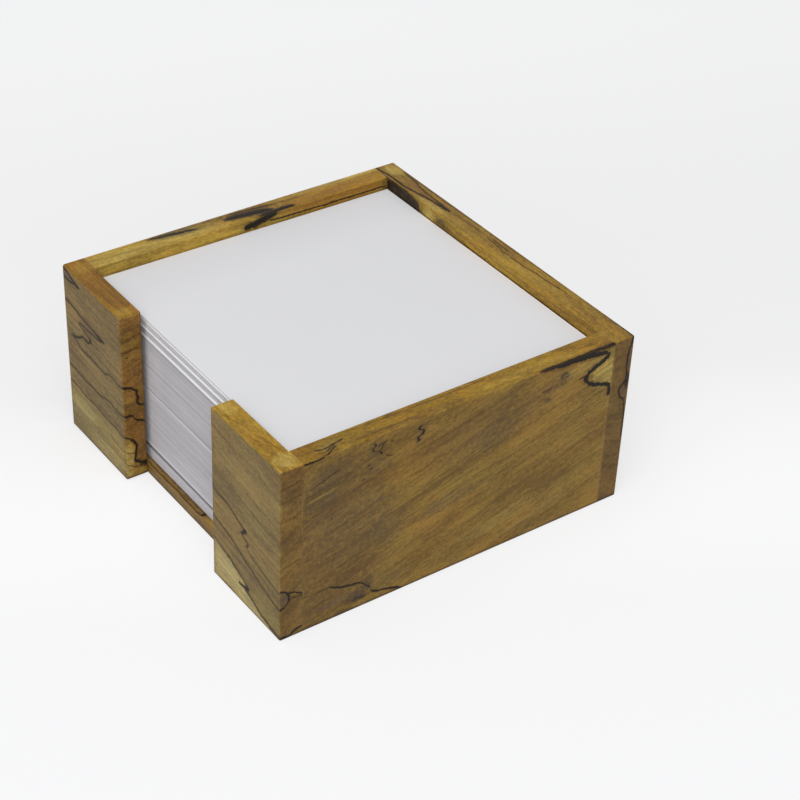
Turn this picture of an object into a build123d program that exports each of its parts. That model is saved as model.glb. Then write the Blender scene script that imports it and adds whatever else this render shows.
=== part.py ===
from build123d import *

import os

# Desktop holder for square memo sheets, in millimetres.
# Six wooden boards are glued into an open-topped tray with a finger gap in its front wall, and the
# loose sheets stand in it. The gap faces -Y, the width runs along X and +Z is up. The origin is
# under the middle of the tray, on the surface that it stands on.

# ---- the sheets ----
sheet_width = 90.0
sheet_depth = 90.0
sheet_side_slack = 2.0  # both sides together
sheet_depth_slack = 2.0  # front and rear together
sheet_left_clearance = 0.4
sheet_rear_clearance = 0.3

# ---- the bundles that the sheets lie in, from the bottom up ----
bottom_bundle_height = 3.3
bundle_slit_height = 0.3
lower_bundle_height = 18.0
middle_bundle_height = 16.2
proud_sheets_lower_height = 0.4
spacer_bundle_height = 2.2
proud_sheets_upper_height = 0.5
upper_bundle_height = 1.5
loose_sheets_height = 0.85
top_sheet_height = 0.15
proud_step = 0.3  # how far the proud sheets stand out of the stack's front
lower_bundle_shift = 0.15  # how far the lower bundle has slid towards the right

# ---- the boards ----
board_thickness = 6.3
wall_height = 50.5
stub_length = 30.4
base_thickness = 3.5

# ---- sanding ----
corner_radius = 0.5
soft_corner_radius = 1.0  # the front left corner is sanded rounder than the others
arris_radius = 0.5
base_arris_radius = 0.3

# ---- hidden corner dowels ----
dowel_diameter = 3.0
dowel_length = 12.0
dowel_depth_in_face = 4.0
dowel_edge_distance = 12.0  # from the wall's top and bottom edges to a dowel's axis
dowel_chamfer = 0.4
glue_clearance = 0.05
glue_end_clearance = 0.4

# ---- places that follow from the sizes above ----
inner_width = sheet_width + sheet_side_slack
inner_depth = sheet_depth + sheet_depth_slack
outer_width = inner_width + 2 * board_thickness
outer_depth = inner_depth + 2 * board_thickness
gap_width = outer_width - 2 * stub_length
front_seam_y = -inner_depth / 2
side_board_x = inner_width / 2 + board_thickness / 2
end_board_y = inner_depth / 2 + board_thickness / 2
stub_x = outer_width / 2 - stub_length / 2
sheet_x = -inner_width / 2 + sheet_left_clearance + sheet_width / 2
sheet_y = inner_depth / 2 - sheet_rear_clearance - sheet_depth / 2
dowel_heights = (dowel_edge_distance, wall_height - dowel_edge_distance)


def standing_block(width, depth, height, x=0.0, y=0.0, z=0.0):
    """A block that stands at height z, centred on x and y."""
    return Pos(x, y, z) * Box(width, depth, height, align=(Align.CENTER, Align.CENTER, Align.MIN))


def near(value, target):
    """Whether two lengths are the same to a hundredth of a millimetre."""
    return abs(value - target) < 0.01


def upright(edge):
    """Whether an edge runs straight up the full height of the walls."""
    box = edge.bounding_box()
    return near(box.size.Z, wall_height) and box.size.X < 0.01 and box.size.Y < 0.01


def at_outer_corner(edge):
    """Whether an edge is one of the tray's four outer corners, still unrounded."""
    middle = edge.center()
    on_corner = near(abs(middle.X), outer_width / 2) and near(abs(middle.Y), outer_depth / 2)
    return upright(edge) and on_corner


def at_soft_corner(edge):
    """Whether an edge is the front left outer corner."""
    return at_outer_corner(edge) and edge.center().X < 0 and edge.center().Y < 0


def at_finger_gap(edge):
    """Whether an upright edge stands beside the finger gap."""
    return upright(edge) and near(abs(edge.center().X), gap_width / 2)


def on_top(edge):
    """Whether an edge lies wholly in the top face of the walls."""
    box = edge.bounding_box()
    return near(box.min.Z, wall_height) and near(box.max.Z, wall_height)


def on_outer_foot(edge):
    """Whether an edge lies in the underside and isn't one that the base panel covers."""
    box = edge.bounding_box()
    if not (near(box.min.Z, 0.0) and near(box.max.Z, 0.0)):
        return False
    middle = edge.center()
    beyond_side = abs(middle.X) > inner_width / 2 + arris_radius
    beyond_end = abs(middle.Y) > inner_depth / 2 + arris_radius
    return beyond_side or beyond_end


def sanded_frame():
    """The five upright boards as one ring, sanded after they were glued together."""
    ring = standing_block(outer_width, outer_depth, wall_height)
    ring = fillet([edge for edge in ring.edges() if at_soft_corner(edge)], soft_corner_radius)
    ring = fillet([edge for edge in ring.edges() if at_outer_corner(edge)], corner_radius)
    ring = ring - standing_block(inner_width, inner_depth, wall_height)
    ring = ring - standing_block(gap_width, 2 * board_thickness, wall_height, y=-outer_depth / 2)
    gap_edges = [edge for edge in ring.edges() if at_finger_gap(edge)]
    top_edges = [edge for edge in ring.edges() if on_top(edge)]
    foot_edges = [edge for edge in ring.edges() if on_outer_foot(edge)]
    return fillet(gap_edges + top_edges + foot_edges, arris_radius)


def dowel_axis(side, end, height):
    """Where a corner dowel's axis crosses the glued seam: side -1 is left, end -1 is the front."""
    return Pos(side * side_board_x, end * inner_depth / 2, height)


def dowel(side, end, height):
    """A chamfered dowel across one corner's seam, pointing away from the tray's middle."""
    peg = Cylinder(dowel_diameter / 2, dowel_length, align=(Align.CENTER, Align.CENTER, Align.MAX))
    peg = chamfer(peg.edges().filter_by(GeomType.CIRCLE), dowel_chamfer)
    return dowel_axis(side, end, height) * Rot(-90 * end, 0, 0) * Pos(0, 0, dowel_depth_in_face) * peg


def dowel_hole(side, end, height):
    """The pair of blind holes that one dowel is glued into."""
    radius = dowel_diameter / 2 + glue_clearance
    length = dowel_length + 2 * glue_end_clearance
    drill = Cylinder(radius, length, align=(Align.CENTER, Align.CENTER, Align.MAX))
    depth = dowel_depth_in_face + glue_end_clearance
    return dowel_axis(side, end, height) * Rot(-90 * end, 0, 0) * Pos(0, 0, depth) * drill


def drilled(board, corners):
    """A board with the holes of the dowels at its corners, each given as (side, end)."""
    for side, end in corners:
        for height in dowel_heights:
            board = board - dowel_hole(side, end, height)
    return board


def base_panel():
    """The thin board let in between the walls, with its front edge level with the stubs' backs."""
    panel = standing_block(inner_width, inner_depth, base_thickness)
    front_edges = [
        edge for edge in panel.edges().filter_by(Axis.X) if near(edge.center().Y, front_seam_y)
    ]
    return fillet(front_edges, base_arris_radius)


def boards():
    """The upright boards, cut from the sanded ring at the glued seams, and the base panel."""
    ring = sanded_frame()
    side_block_left = standing_block(board_thickness, inner_depth, wall_height, x=-side_board_x)
    side_block_right = standing_block(board_thickness, inner_depth, wall_height, x=side_board_x)
    rear_block = standing_block(outer_width, board_thickness, wall_height, y=end_board_y)
    stub_block_left = standing_block(stub_length, board_thickness, wall_height, -stub_x, -end_board_y)
    stub_block_right = standing_block(stub_length, board_thickness, wall_height, stub_x, -end_board_y)
    return {
        "rear_wall": drilled(ring & rear_block, ((-1, 1), (1, 1))),
        "left_wall": drilled(ring & side_block_left, ((-1, 1), (-1, -1))),
        "right_wall": drilled(ring & side_block_right, ((1, 1), (1, -1))),
        "front_left_stub": drilled(ring & stub_block_left, ((-1, -1),)),
        "front_right_stub": drilled(ring & stub_block_right, ((1, -1),)),
        "base_panel": base_panel(),
    }


def corner_dowels():
    """Two dowels for each of the four corners."""
    names = {
        "rear_left_dowels": (-1, 1),
        "rear_right_dowels": (1, 1),
        "front_left_dowels": (-1, -1),
        "front_right_dowels": (1, -1),
    }
    return {
        name: Compound([dowel(side, end, height) for height in dowel_heights])
        for name, (side, end) in names.items()
    }


def sheet_bundles():
    """The sheets, bundle on bundle."""
    # name, height, step forward, shift to the right, slit above
    stack = (
        ("bottom_bundle", bottom_bundle_height, 0.0, 0.0, bundle_slit_height),
        ("lower_bundle", lower_bundle_height, 0.0, lower_bundle_shift, 0.0),
        ("middle_bundle", middle_bundle_height, 0.0, 0.0, 0.0),
        ("proud_sheets_lower", proud_sheets_lower_height, proud_step, 0.0, 0.0),
        ("spacer_bundle", spacer_bundle_height, 0.0, 0.0, 0.0),
        ("proud_sheets_upper", proud_sheets_upper_height, proud_step, 0.0, 0.0),
        ("upper_bundle", upper_bundle_height, 0.0, 0.0, 0.0),
        ("loose_sheets", loose_sheets_height, 0.0, 0.0, 0.0),
        ("top_sheet", top_sheet_height, 0.0, 0.0, 0.0),
    )
    bundles = {}
    level = base_thickness
    for name, height, forward, sideways, slit_above in stack:
        x = sheet_x + sideways
        y = sheet_y - forward
        bundles[name] = standing_block(sheet_width, sheet_depth, height, x, y, level)
        level += height + slit_above
    return bundles


def main():
    os.makedirs("parts", exist_ok=True)
    pieces = boards() | corner_dowels() | sheet_bundles()
    for name, shape in pieces.items():
        export_step(shape, f"parts/{name}.step")
    print(f"{len(pieces)} nodes, {outer_width:.2f} x {outer_depth:.2f} x {wall_height:.2f} mm")


if __name__ == "__main__":
    main()
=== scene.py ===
"""Looks of a wooden desk tray for square memo sheets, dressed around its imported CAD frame.

The tray's boards are spalted beech: oiled wood in which fungi have drawn dark zone lines and left
grey, brown and pale patches. The boards keep their CAD solids and get their wood here, in object
coordinates. The loose sheets are made one by one. Lengths on the wood are in millimetres, places
of Blender objects in metres.
"""
import logging
import math
from dataclasses import dataclass
from enum import Enum
from typing import Iterable, Optional, Sequence, Union

import bpy
from mathutils import Matrix, Vector


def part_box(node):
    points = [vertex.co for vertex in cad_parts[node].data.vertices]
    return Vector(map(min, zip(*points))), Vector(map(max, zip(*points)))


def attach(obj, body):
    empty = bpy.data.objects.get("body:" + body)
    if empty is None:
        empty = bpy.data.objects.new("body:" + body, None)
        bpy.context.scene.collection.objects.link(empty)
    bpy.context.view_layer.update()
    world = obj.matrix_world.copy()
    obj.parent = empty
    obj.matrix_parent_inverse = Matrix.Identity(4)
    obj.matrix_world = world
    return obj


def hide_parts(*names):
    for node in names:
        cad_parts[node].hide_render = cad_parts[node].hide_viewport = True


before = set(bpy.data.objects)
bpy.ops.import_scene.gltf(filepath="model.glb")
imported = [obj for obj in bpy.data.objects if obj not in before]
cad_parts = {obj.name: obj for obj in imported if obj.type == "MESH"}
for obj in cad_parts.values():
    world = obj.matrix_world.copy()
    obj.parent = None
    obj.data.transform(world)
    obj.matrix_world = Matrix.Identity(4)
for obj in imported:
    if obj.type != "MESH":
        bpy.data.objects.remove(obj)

log = logging.getLogger("memo_tray")

MM = 0.001
NOISE_MIDDLE = 0.5
LEVEL_ROOM = 0.01

Socket = bpy.types.NodeSocket
Sockets = bpy.types.bpy_prop_collection
Material = bpy.types.Material
Plug = Union[Socket, float, int, Sequence[float], bpy.types.ID]
Point = tuple[float, float]
Triple = tuple[float, float, float]
ZERO: Triple = (0.0, 0.0, 0.0)
EVEN: Triple = (1.0, 1.0, 1.0)
UP: Triple = (0.0, 0.0, 1.0)


# ---------------------------------------------------------------- node trees


class Graph:
    """A node tree with short calls that add a node, feed it and hand back its output."""

    def __init__(self, tree: bpy.types.NodeTree) -> None:
        """Take the empty node tree to build in."""
        self.tree = tree

    def feed(self, socket: Socket, plug: Plug) -> None:
        """Link an output into a socket, or set the socket's own value.

        Args:
            socket: The input socket.
            plug: Another node's output, or a plain value.
        """
        if isinstance(plug, Socket):
            self.tree.links.new(plug, socket)
        else:
            socket.default_value = plug

    def add(self, kind: str, plugs: Optional[dict[str, Plug]] = None, **settings: object) -> bpy.types.Node:
        """Add a node.

        Args:
            kind: The node's type name.
            plugs: What goes into its named sockets.
            **settings: Properties of the node, set before its sockets are fed.

        Returns:
            The new node.
        """
        made = self.tree.nodes.new(kind)
        for name, value in settings.items():
            setattr(made, name, value)
        for name, plug in (plugs or {}).items():
            self.feed(made.inputs[name], plug)
        return made

    def operate(self, kind: str, operation: str, operands: Iterable[Plug]) -> bpy.types.Node:
        """Add a node that has an operation.

        Args:
            kind: The node's type name.
            operation: The operation's name, such as MAXIMUM.
            operands: What goes into its sockets, in order.

        Returns:
            The new node.
        """
        made = self.add(kind, operation=operation)
        for socket, plug in zip(made.inputs, operands):
            self.feed(socket, plug)
        return made

    def math(self, operation: str, *plugs: Plug) -> Socket:
        """Add a Math node, such as MAXIMUM, and hand back its result."""
        return self.operate("ShaderNodeMath", operation, plugs).outputs[0]

    def plus(self, first: Plug, second: Plug) -> Socket:
        """Add two numbers."""
        return self.math("ADD", first, second)

    def minus(self, first: Plug, second: Plug) -> Socket:
        """Subtract the second number from the first."""
        return self.math("SUBTRACT", first, second)

    def times(self, first: Plug, *factors: Plug) -> Plug:
        """Multiply numbers.

        Args:
            first: The first number.
            *factors: What it is multiplied by, one after the other.

        Returns:
            The product.
        """
        for factor in factors:
            first = self.math("MULTIPLY", first, factor)
        return first

    def fma(self, value: Plug, factor: Plug, offset: Plug) -> Socket:
        """Multiply a number by a factor and add an offset."""
        return self.math("MULTIPLY_ADD", value, factor, offset)

    def gather(self, start: Plug, *parts: tuple[Plug, Plug]) -> Plug:
        """Add parts to a number.

        Args:
            start: The number.
            *parts: Each part, and what it is multiplied by.

        Returns:
            The sum.
        """
        for part, factor in parts:
            start = self.fma(part, factor, start)
        return start

    def swing(self, noise: Plug, reach: Plug, middle: Plug) -> Socket:
        """Move a number up and down with a noise, by up to half of reach each way."""
        return self.fma(self.minus(noise, NOISE_MIDDLE), reach, middle)

    def around(self, noise: Plug, reach: float, middle: float) -> Socket:
        """Do as swing does, in one step, where reach and middle are plain numbers."""
        return self.fma(noise, reach, middle - NOISE_MIDDLE * reach)

    def vector(self, operation: str, *plugs: Plug) -> Socket:
        """Add a Vector Math node and hand back its result, a number for a dot product or a length."""
        scalar = operation in ("DOT_PRODUCT", "LENGTH")
        return self.operate("ShaderNodeVectorMath", operation, plugs).outputs["Value" if scalar else "Vector"]

    def scale(self, vector: Plug, factor: Plug) -> Socket:
        """Multiply a vector by a number."""
        plugs = {"Vector": vector, "Scale": factor}
        return self.add("ShaderNodeVectorMath", plugs, operation="SCALE").outputs[0]

    def combine(self, x: Plug, y: Plug, z: Plug) -> Socket:
        """Join three numbers into a vector."""
        return self.add("ShaderNodeCombineXYZ", {"X": x, "Y": y, "Z": z}).outputs[0]

    def separate(self, vector: Plug) -> list[Socket]:
        """Split a vector into its three numbers."""
        return list(self.add("ShaderNodeSeparateXYZ", {"Vector": vector}).outputs)

    def ease(self, value: Plug, start: Plug, end: Plug, low: Plug = 0.0, high: Plug = 1.0) -> Socket:
        """Ease from low to high as a number goes from start to end, which may be below start."""
        plugs = {"Value": value, "From Min": start, "From Max": end, "To Min": low, "To Max": high}
        return self.add("ShaderNodeMapRange", plugs, interpolation_type="SMOOTHSTEP").outputs[0]

    def mix(self, factor: Plug, below: Plug, above: Plug, blend: str = "MIX") -> Socket:
        """Mix two colours, each an output or three numbers.

        Args:
            factor: The upper colour's share.
            below: The colour below.
            above: The colour above.
            blend: The way of mixing, such as MULTIPLY.

        Returns:
            The mixed colour.
        """
        made = self.add("ShaderNodeMix", data_type="RGBA", blend_type=blend)
        self.feed(made.inputs[0], factor)
        for socket, colour in ((made.inputs[6], below), (made.inputs[7], above)):
            self.feed(socket, (*colour, 1.0) if isinstance(colour, tuple) else colour)
        return made.outputs[2]

    def wash(self, factor: Plug, colour: Plug, tint: Plug) -> Socket:
        """Multiply a colour by a tint, by the given share."""
        return self.mix(factor, colour, tint, "MULTIPLY")

    def noise(self, place: Plug, scale: Plug = 1.0, detail: float = 2.0, roughness: float = 0.5) -> Sockets:
        """Add a three-dimensional noise, with its value as output 0 and three values as output 1."""
        plugs = {"Vector": place, "Scale": scale, "Detail": detail, "Roughness": roughness}
        return self.add("ShaderNodeTexNoise", plugs, noise_dimensions="3D").outputs

    def line_noise(self, along: Plug, scale: Plug = 1.0, detail: float = 2.0) -> Socket:
        """Add a noise along a single number."""
        plugs = {"W": along, "Scale": scale, "Detail": detail}
        return self.add("ShaderNodeTexNoise", plugs, noise_dimensions="1D").outputs[0]

    def extreme(self, operation: str, values: Sequence[Plug]) -> Plug:
        """Find the largest or the smallest of some values.

        Args:
            operation: MAXIMUM or MINIMUM.
            values: The values.

        Returns:
            The one that is found, or 0 where there are no values.
        """
        result: Plug = values[0] if values else 0.0
        for value in values[1:]:
            result = self.math(operation, result, value)
        return result

    def random(self, reach: Plug, index: Plug, seed: Plug, salt: int) -> Socket:
        """Add a random number from minus reach to plus reach.

        Args:
            reach: The largest value.
            index: What each number belongs to.
            seed: The seed that they all share.
            salt: Keeps several numbers of one index apart.

        Returns:
            The number.
        """
        made = self.add("FunctionNodeRandomValue", data_type="FLOAT")
        self.feed(made.inputs[2], self.times(reach, -1.0))
        self.feed(made.inputs[3], reach)
        self.feed(made.inputs["ID"], index)
        self.feed(made.inputs["Seed"], self.plus(seed, float(salt)))
        return made.outputs[1]

    def use(self, group: "EffectGroup", plugs: dict[str, Plug]) -> Sockets:
        """Place a shared effect with what goes into its named inputs, and hand back its outputs."""
        return self.add("ShaderNodeGroup", plugs, node_tree=group.tree).outputs

    def surface(self, plugs: dict[str, Plug], height: Plug, strength: float, depth: float) -> None:
        """End a material in a Principled shader with fine bumps.

        Args:
            plugs: What goes into the shader's named sockets.
            height: The bumps' height.
            strength: How strongly they show.
            depth: How deep they are, in millimetres.
        """
        bump = self.add("ShaderNodeBump", {"Strength": strength, "Distance": depth * MM, "Height": height})
        shader = self.add("ShaderNodeBsdfPrincipled", {**plugs, "Normal": bump.outputs[0]})
        self.add("ShaderNodeOutputMaterial", {"Surface": shader.outputs[0]})


class EffectGroup(Graph):
    """A shader node group with named inputs and outputs, which several materials share."""

    def __init__(self, name: str, takes: dict[str, Plug], gives: Iterable[str]) -> None:
        """Make the group and its sockets.

        Args:
            name: The group's name.
            takes: The inputs and their defaults, a tuple for a vector.
            gives: The outputs, each a number, or a vector where its name ends in Place.
        """
        tree = bpy.data.node_groups.new(name, "ShaderNodeTree")
        for label, value in takes.items():
            kind = "NodeSocketVector" if isinstance(value, tuple) else "NodeSocketFloat"
            socket = tree.interface.new_socket(name=label, in_out="INPUT", socket_type=kind)
            socket.default_value = value
        for label in gives:
            kind = "NodeSocketVector" if label.endswith("Place") else "NodeSocketFloat"
            tree.interface.new_socket(name=label, in_out="OUTPUT", socket_type=kind)
        super().__init__(tree)
        self.taken = self.add("NodeGroupInput").outputs
        self.given = self.add("NodeGroupOutput").inputs

    def give(self, label: str, plug: Plug) -> None:
        """Send a value to an output of the group."""
        self.feed(self.given[label], plug)


def new_material(name: str) -> tuple[Material, Graph]:
    """Make a material with an empty node tree.

    Args:
        name: The material's name.

    Returns:
        The material and its graph.
    """
    made = bpy.data.materials.new(name)
    made.use_nodes = True
    made.node_tree.nodes.clear()
    return made, Graph(made.node_tree)


def new_object(name: str, data: bpy.types.ID) -> bpy.types.Object:
    """Make an object in the scene.

    Args:
        name: The object's name.
        data: Its mesh, lamp or camera.

    Returns:
        The object.
    """
    made = bpy.data.objects.new(name, data)
    bpy.context.scene.collection.objects.link(made)
    return made


# ---------------------------------------------------------------- the tray's planes


@dataclass(frozen=True)
class TraySizes:
    """Planes of the tray in millimetres from its origin, read from the frame."""

    outer_x: float
    outer_y: float
    top: float
    inner_x: float
    inner_y: float
    gap_x: float
    base_top: float

    @classmethod
    def from_frame(cls) -> "TraySizes":
        """Read the planes from the boards' boxes."""
        rear, base, stub = (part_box(node)[1] / MM for node in ("rear_wall", "base_panel", "front_left_stub"))
        return cls(rear.x, rear.y, rear.z, base.x, base.y, -stub.x, base.z)


class Face(Enum):
    """A face of the tray, from the size that it lies at, its side, its axis and the way it looks."""

    RIGHT = ("outer_x", 1, 0, 1)
    FRONT = ("outer_y", -1, 1, -1)
    GAP_END = ("gap_x", -1, 0, 1)
    TOP = ("top", 1, 2, 1)
    INNER_LEFT = ("inner_x", -1, 0, 1)
    INNER_REAR = ("inner_y", 1, 1, -1)
    BASE_FRONT = ("inner_y", -1, 1, -1)
    BASE_TOP = ("base_top", 1, 2, 1)

    def __init__(self, size: str, side: int, axis: int, looks: int) -> None:
        """Take the parts of the face's value.

        Args:
            size: The name of the tray size that gives the plane.
            side: 1 where the plane lies at plus that size, -1 at minus.
            axis: The axis across the face, 0 for X to 2 for Z.
            looks: 1 where the face looks along its axis, -1 against it.
        """
        self.size = size
        self.side = side
        self.axis = axis
        self.looks = looks

    @property
    def own_axes(self) -> list[int]:
        """Give the two axes that lie in the face."""
        return [axis for axis in range(3) if axis != self.axis]

    def plane(self, sizes: TraySizes) -> float:
        """Give the face's place along its axis, in millimetres."""
        return self.side * getattr(sizes, self.size)


# ---------------------------------------------------------------- marks in the wood


class Tint(Enum):
    """Colours that spalting leaves in the wood, as linear red, green and blue."""

    INK = (0.012, 0.008, 0.004)
    CHARCOAL = (0.034, 0.031, 0.030)
    GREY = (0.112, 0.084, 0.042)
    VIOLET = (0.125, 0.088, 0.060)
    UMBER = (0.150, 0.082, 0.026)
    RUST = (0.225, 0.105, 0.025)
    AMBER = (0.440, 0.215, 0.022)
    GOLD = (0.430, 0.275, 0.045)
    OLIVE = (0.320, 0.235, 0.065)
    PALE = (0.530, 0.425, 0.172)
    STRAW = (0.620, 0.470, 0.125)

    @property
    def mottled(self) -> bool:
        """Tell whether a stain of this tint is uneven, which ink and the light tints aren't."""
        return self in (Tint.CHARCOAL, Tint.GREY, Tint.VIOLET, Tint.UMBER, Tint.RUST)


INK, CHARCOAL, GREY, VIOLET, UMBER, RUST, AMBER, GOLD, OLIVE, PALE, STRAW = Tint


# Most dark lines are zone lines; a few are painted shadow lines, where the paper stack meets the wood and
# along an arris.
@dataclass(frozen=True)
class DarkLine:
    """A dark line in a face, as points in the face's own two axes, in millimetres.

    The points go steadily one way along one of the axes. The width swells and shrinks with the
    wood's texture and thins out over the taper at both ends, and ink is how dark the line is. The
    shore is a strip of another tint that begins at the line and fades out over that many
    millimetres, below the line where it is positive and above it where it is negative. Strength is
    how much of its tint shows.
    """

    points: tuple[Point, ...]
    width: float = 0.55
    ink: float = 1.0
    taper: float = 0.7
    shore: float = 0.0
    tint: Tint = PALE
    strength: float = 0.5

    def run_axis(self) -> int:
        """Find out which way the line runs.

        Returns:
            The axis of the face, 0 or 1, that it goes steadily along.
        """
        spans = []
        for axis in (0, 1):
            steps = [b[axis] - a[axis] for a, b in zip(self.points, self.points[1:])]
            steady = all(step > 0 for step in steps) or all(step < 0 for step in steps)
            spans.append(abs(sum(steps)) if steady else -1.0)
        if max(spans) < 0:
            raise ValueError(f"a zone line has to run steadily one way: {self.points}")
        return spans.index(max(spans))


@dataclass(frozen=True)
class Stain:
    """A soft-edged oval patch in a face, in millimetres and degrees.

    Its reach is how far it goes each way along its own two axes before it has faded out. It is
    turned from the face's first axis towards the second.
    """

    centre: Point
    reach: Point
    tint: Tint
    strength: float = 0.6
    turn: float = 0.0


@dataclass(frozen=True)
class FaceMarks:
    """What is drawn on one face of a board, and how the wood's colour changes there."""

    face: Face
    # The wash multiplies the face's colour; on the inner faces of the left and rear walls it is painted
    # light, on the base's top painted shade, and on the other faces the wood's own colour there.
    wash: Triple = EVEN
    lines: tuple[DarkLine, ...] = ()
    stains: tuple[Stain, ...] = ()


RIGHT_WALL_SIDE = FaceMarks(
    Face.RIGHT,
    lines=(
        DarkLine(((-46.2, 50.3), (-43.2, 50), (-41.2, 50.2), (-39.5, 51)), 0.45, 0.85),
        DarkLine(((-44.7, 42), (-42.2, 42.8), (-40.2, 43.5), (-38.2, 44.3), (-35.7, 44.9)), 0.4, 0.55),
        DarkLine(((-27, 48.9), (-26.2, 47.8), (-26.9, 46.9), (-26, 46.1), (-24.9, 45.6), (-24.1, 44.3)),
            0.35, 0.8),
        DarkLine(((-25.8, 46.9), (-24.8, 47.6), (-23.6, 47.8), (-22.8, 48.5)), 0.35, 0.75),
        DarkLine(((-25.4, 45.8), (-24.4, 46.5), (-24, 47.6)), 0.35, 0.7, 0.4),
        DarkLine(((-23.6, 44.1), (-22.4, 43.4), (-20.8, 43.2)), 0.35, 0.6),
        DarkLine(((-13, 48.7), (-13.8, 47.6), (-12.5, 46.9), (-12.8, 45.9), (-14.1, 45.2), (-13.7, 44.5),
            (-15, 43.7)), 0.5, 0.85, 0.4),
        DarkLine(((-46.2, 10.8), (-43.2, 10.5), (-40.2, 10.6), (-37.7, 10.3)), 0.35, 0.35),
        DarkLine(((-38.4, 10.6), (-35.5, 9.2), (-32.2, 8.4), (-29.9, 8), (-28.7, 7.3), (-27.7, 6.2),
            (-26.5, 5.3), (-26, 3.8), (-25.4, 3.3), (-22.2, 2.5), (-19.2, 1.5), (-16.4, 0.4)), 0.5, 0.95),
        DarkLine(((20.5, 50.5), (25.7, 50.4), (31.7, 50.4), (37.7, 50.3), (50, 50.4)), 1.1, 1, 3.5),
        DarkLine(((26.5, 50), (31.2, 49.9), (36.7, 49.5), (41.2, 49), (43.2, 48.6), (44.7, 48)),
            1.7, 1, 2.2),
        DarkLine(((44.8, 48.2), (42.5, 46.6), (40.2, 45.5), (38.6, 44.7), (37, 43.7)), 1.5, 1, 0.5),
        DarkLine(((37.9, 44.5), (37.3, 43.2), (37.6, 42.1), (38.7, 41)), 1.55, 1, 0.5),
        DarkLine(((37.6, 41.9), (39.7, 40.3), (41.7, 39.6), (43.7, 38.9), (45.5, 38.1)), 1.25, 1, 0.5),
        DarkLine(((45, 38.9), (45.3, 37.5), (45.5, 36.1), (45.4, 34.6)), 1, 1, 0.6),
        DarkLine(((34.5, 43.6), (36, 43.8), (37.8, 43.6)), 0.5, 0.7, 1),
        DarkLine(((28.6, 46.2), (29.7, 46.9), (30.6, 47.1), (31.3, 46)), 0.5, 0.35, 0.6),
        DarkLine(((22.8, 44.4), (24.4, 44), (26.2, 44.5)), 0.4, 0.4),
        DarkLine(((23.4, 41.8), (25.2, 41.2), (26.6, 40.6)), 0.4, 0.3),
    ),
    stains=(
        Stain((-42, 20), (27, 36), UMBER, 0.75),
        Stain((8, 40), (24, 9), UMBER, 0.6, 8),
        Stain((43.2, 42.8), (4.4, 6), STRAW, 0.62, 12),
        Stain((36.5, 46.8), (9, 2), STRAW, 0.25, 4),
        Stain((-38.2, 44), (10, 4.6), GREY, 0.5, 10),
        Stain((-41.2, 37.4), (6.5, 2), GREY, 0.55, 10),
        Stain((-41, 39.3), (5.2, 0.42), STRAW, 0.32, 11),
        Stain((-34, 27), (15, 13), GREY, 0.35, 20),
        Stain((-25.7, 46.8), (3.8, 3), GREY, 0.5, -30),
        Stain((-25.2, 41.5), (5, 3.2), GREY, 0.4),
        Stain((-27.4, 41.7), (0.8, 0.5), INK, 0.7),
        Stain((-27.9, 42.8), (0.5, 0.5), INK, 0.6),
        Stain((-29.4, 39.3), (0.8, 0.45), INK, 0.6),
        Stain((-38.2, 31.4), (0.7, 0.45), INK, 0.5),
        Stain((-21.6, 47.4), (0.5, 0.4), INK, 0.7),
        Stain((-13.6, 46), (2, 3.4), GREY, 0.4, -15),
        Stain((-27.2, 7.6), (2.8, 2), CHARCOAL, 0.5, 20),
        Stain((-29.8, 5), (4.6, 2), CHARCOAL, 0.55, 15),
        Stain((-30, 3.3), (3.4, 1.2), CHARCOAL, 0.85),
        Stain((-29.6, 2.9), (2.6, 0.8), INK, 0.85),
        Stain((-36.7, 5.1), (6, 1), VIOLET, 0.6, 6),
        Stain((-35.2, 1), (2, 0.9), INK, 0.9),
        Stain((-33, 0.9), (1.7, 0.8), INK, 0.8),
        Stain((-31.6, 0.7), (0.8, 0.45), INK, 0.7),
        Stain((-30.2, 1.8), (16, 1.4), GOLD, 0.3, 2),
        Stain((-20.2, 5.6), (8, 3), OLIVE, 0.4, 8),
        Stain((30.1, 46.5), (1.8, 1.5), CHARCOAL, 0.75, 20),
        Stain((29.2, 44.8), (4.2, 1.7), CHARCOAL, 0.45, 15),
        Stain((24.6, 43.9), (2.2, 1.1), CHARCOAL, 0.45),
        Stain((25.2, 41), (2.6, 1.2), CHARCOAL, 0.45, 15),
        Stain((9.7, 37.6), (8, 5), GREY, 0.35, 15),
        Stain((-4.2, 22), (12, 2.6), GREY, 0.45, 8),
        Stain((-21.2, 22.1), (7, 6), GREY, 0.4, 30),
        Stain((12, 9), (14, 2.6), OLIVE, 0.35, 12),
        Stain((24, 6), (12, 1.6), OLIVE, 0.3, 14),
    ),
)
RIGHT_WALL_TOP = FaceMarks(
    Face.TOP,
    wash=(1.07, 1.04, 0.55),
    lines=(
        DarkLine(((52.9, -45.8), (52.3, -40.3), (50.9, -37.3), (50.1, -35.6)), 0.4, 0.9),
        DarkLine(((49.3, -41.8), (49.8, -38.3), (49.4, -36.3), (48.9, -33)), 0.35, 0.85),
        DarkLine(((51, -39.3), (50.2, -37.1), (49.5, -35.7)), 0.3, 0.8),
        DarkLine(((52.3, 20.5), (52.2, 27.7), (52.1, 35.7), (52.1, 50)), 0.9, 1, 3.5),
        DarkLine(((46.9, -33.3), (47.4, -20), (47.5, -5), (47.2, 12)), 0.25, 0.4, 4),
        DarkLine(((51.2, -33.3), (50.8, -22), (50.9, -12)), 0.25, 0.35, 4),
    ),
    stains=(
        Stain((50, 20.7), (1.8, 18), GOLD, 0.5),
        Stain((49.5, 43), (3.2, 4.5), RUST, 0.4),
        Stain((51.2, -14.3), (1.3, 24), UMBER, 0.55, -1),
        Stain((49.3, -37.3), (2.6, 4.5), OLIVE, 0.4, 12),
        Stain((47.4, -10.3), (1.2, 22), UMBER, 0.3, 1),
    ),
)
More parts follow.
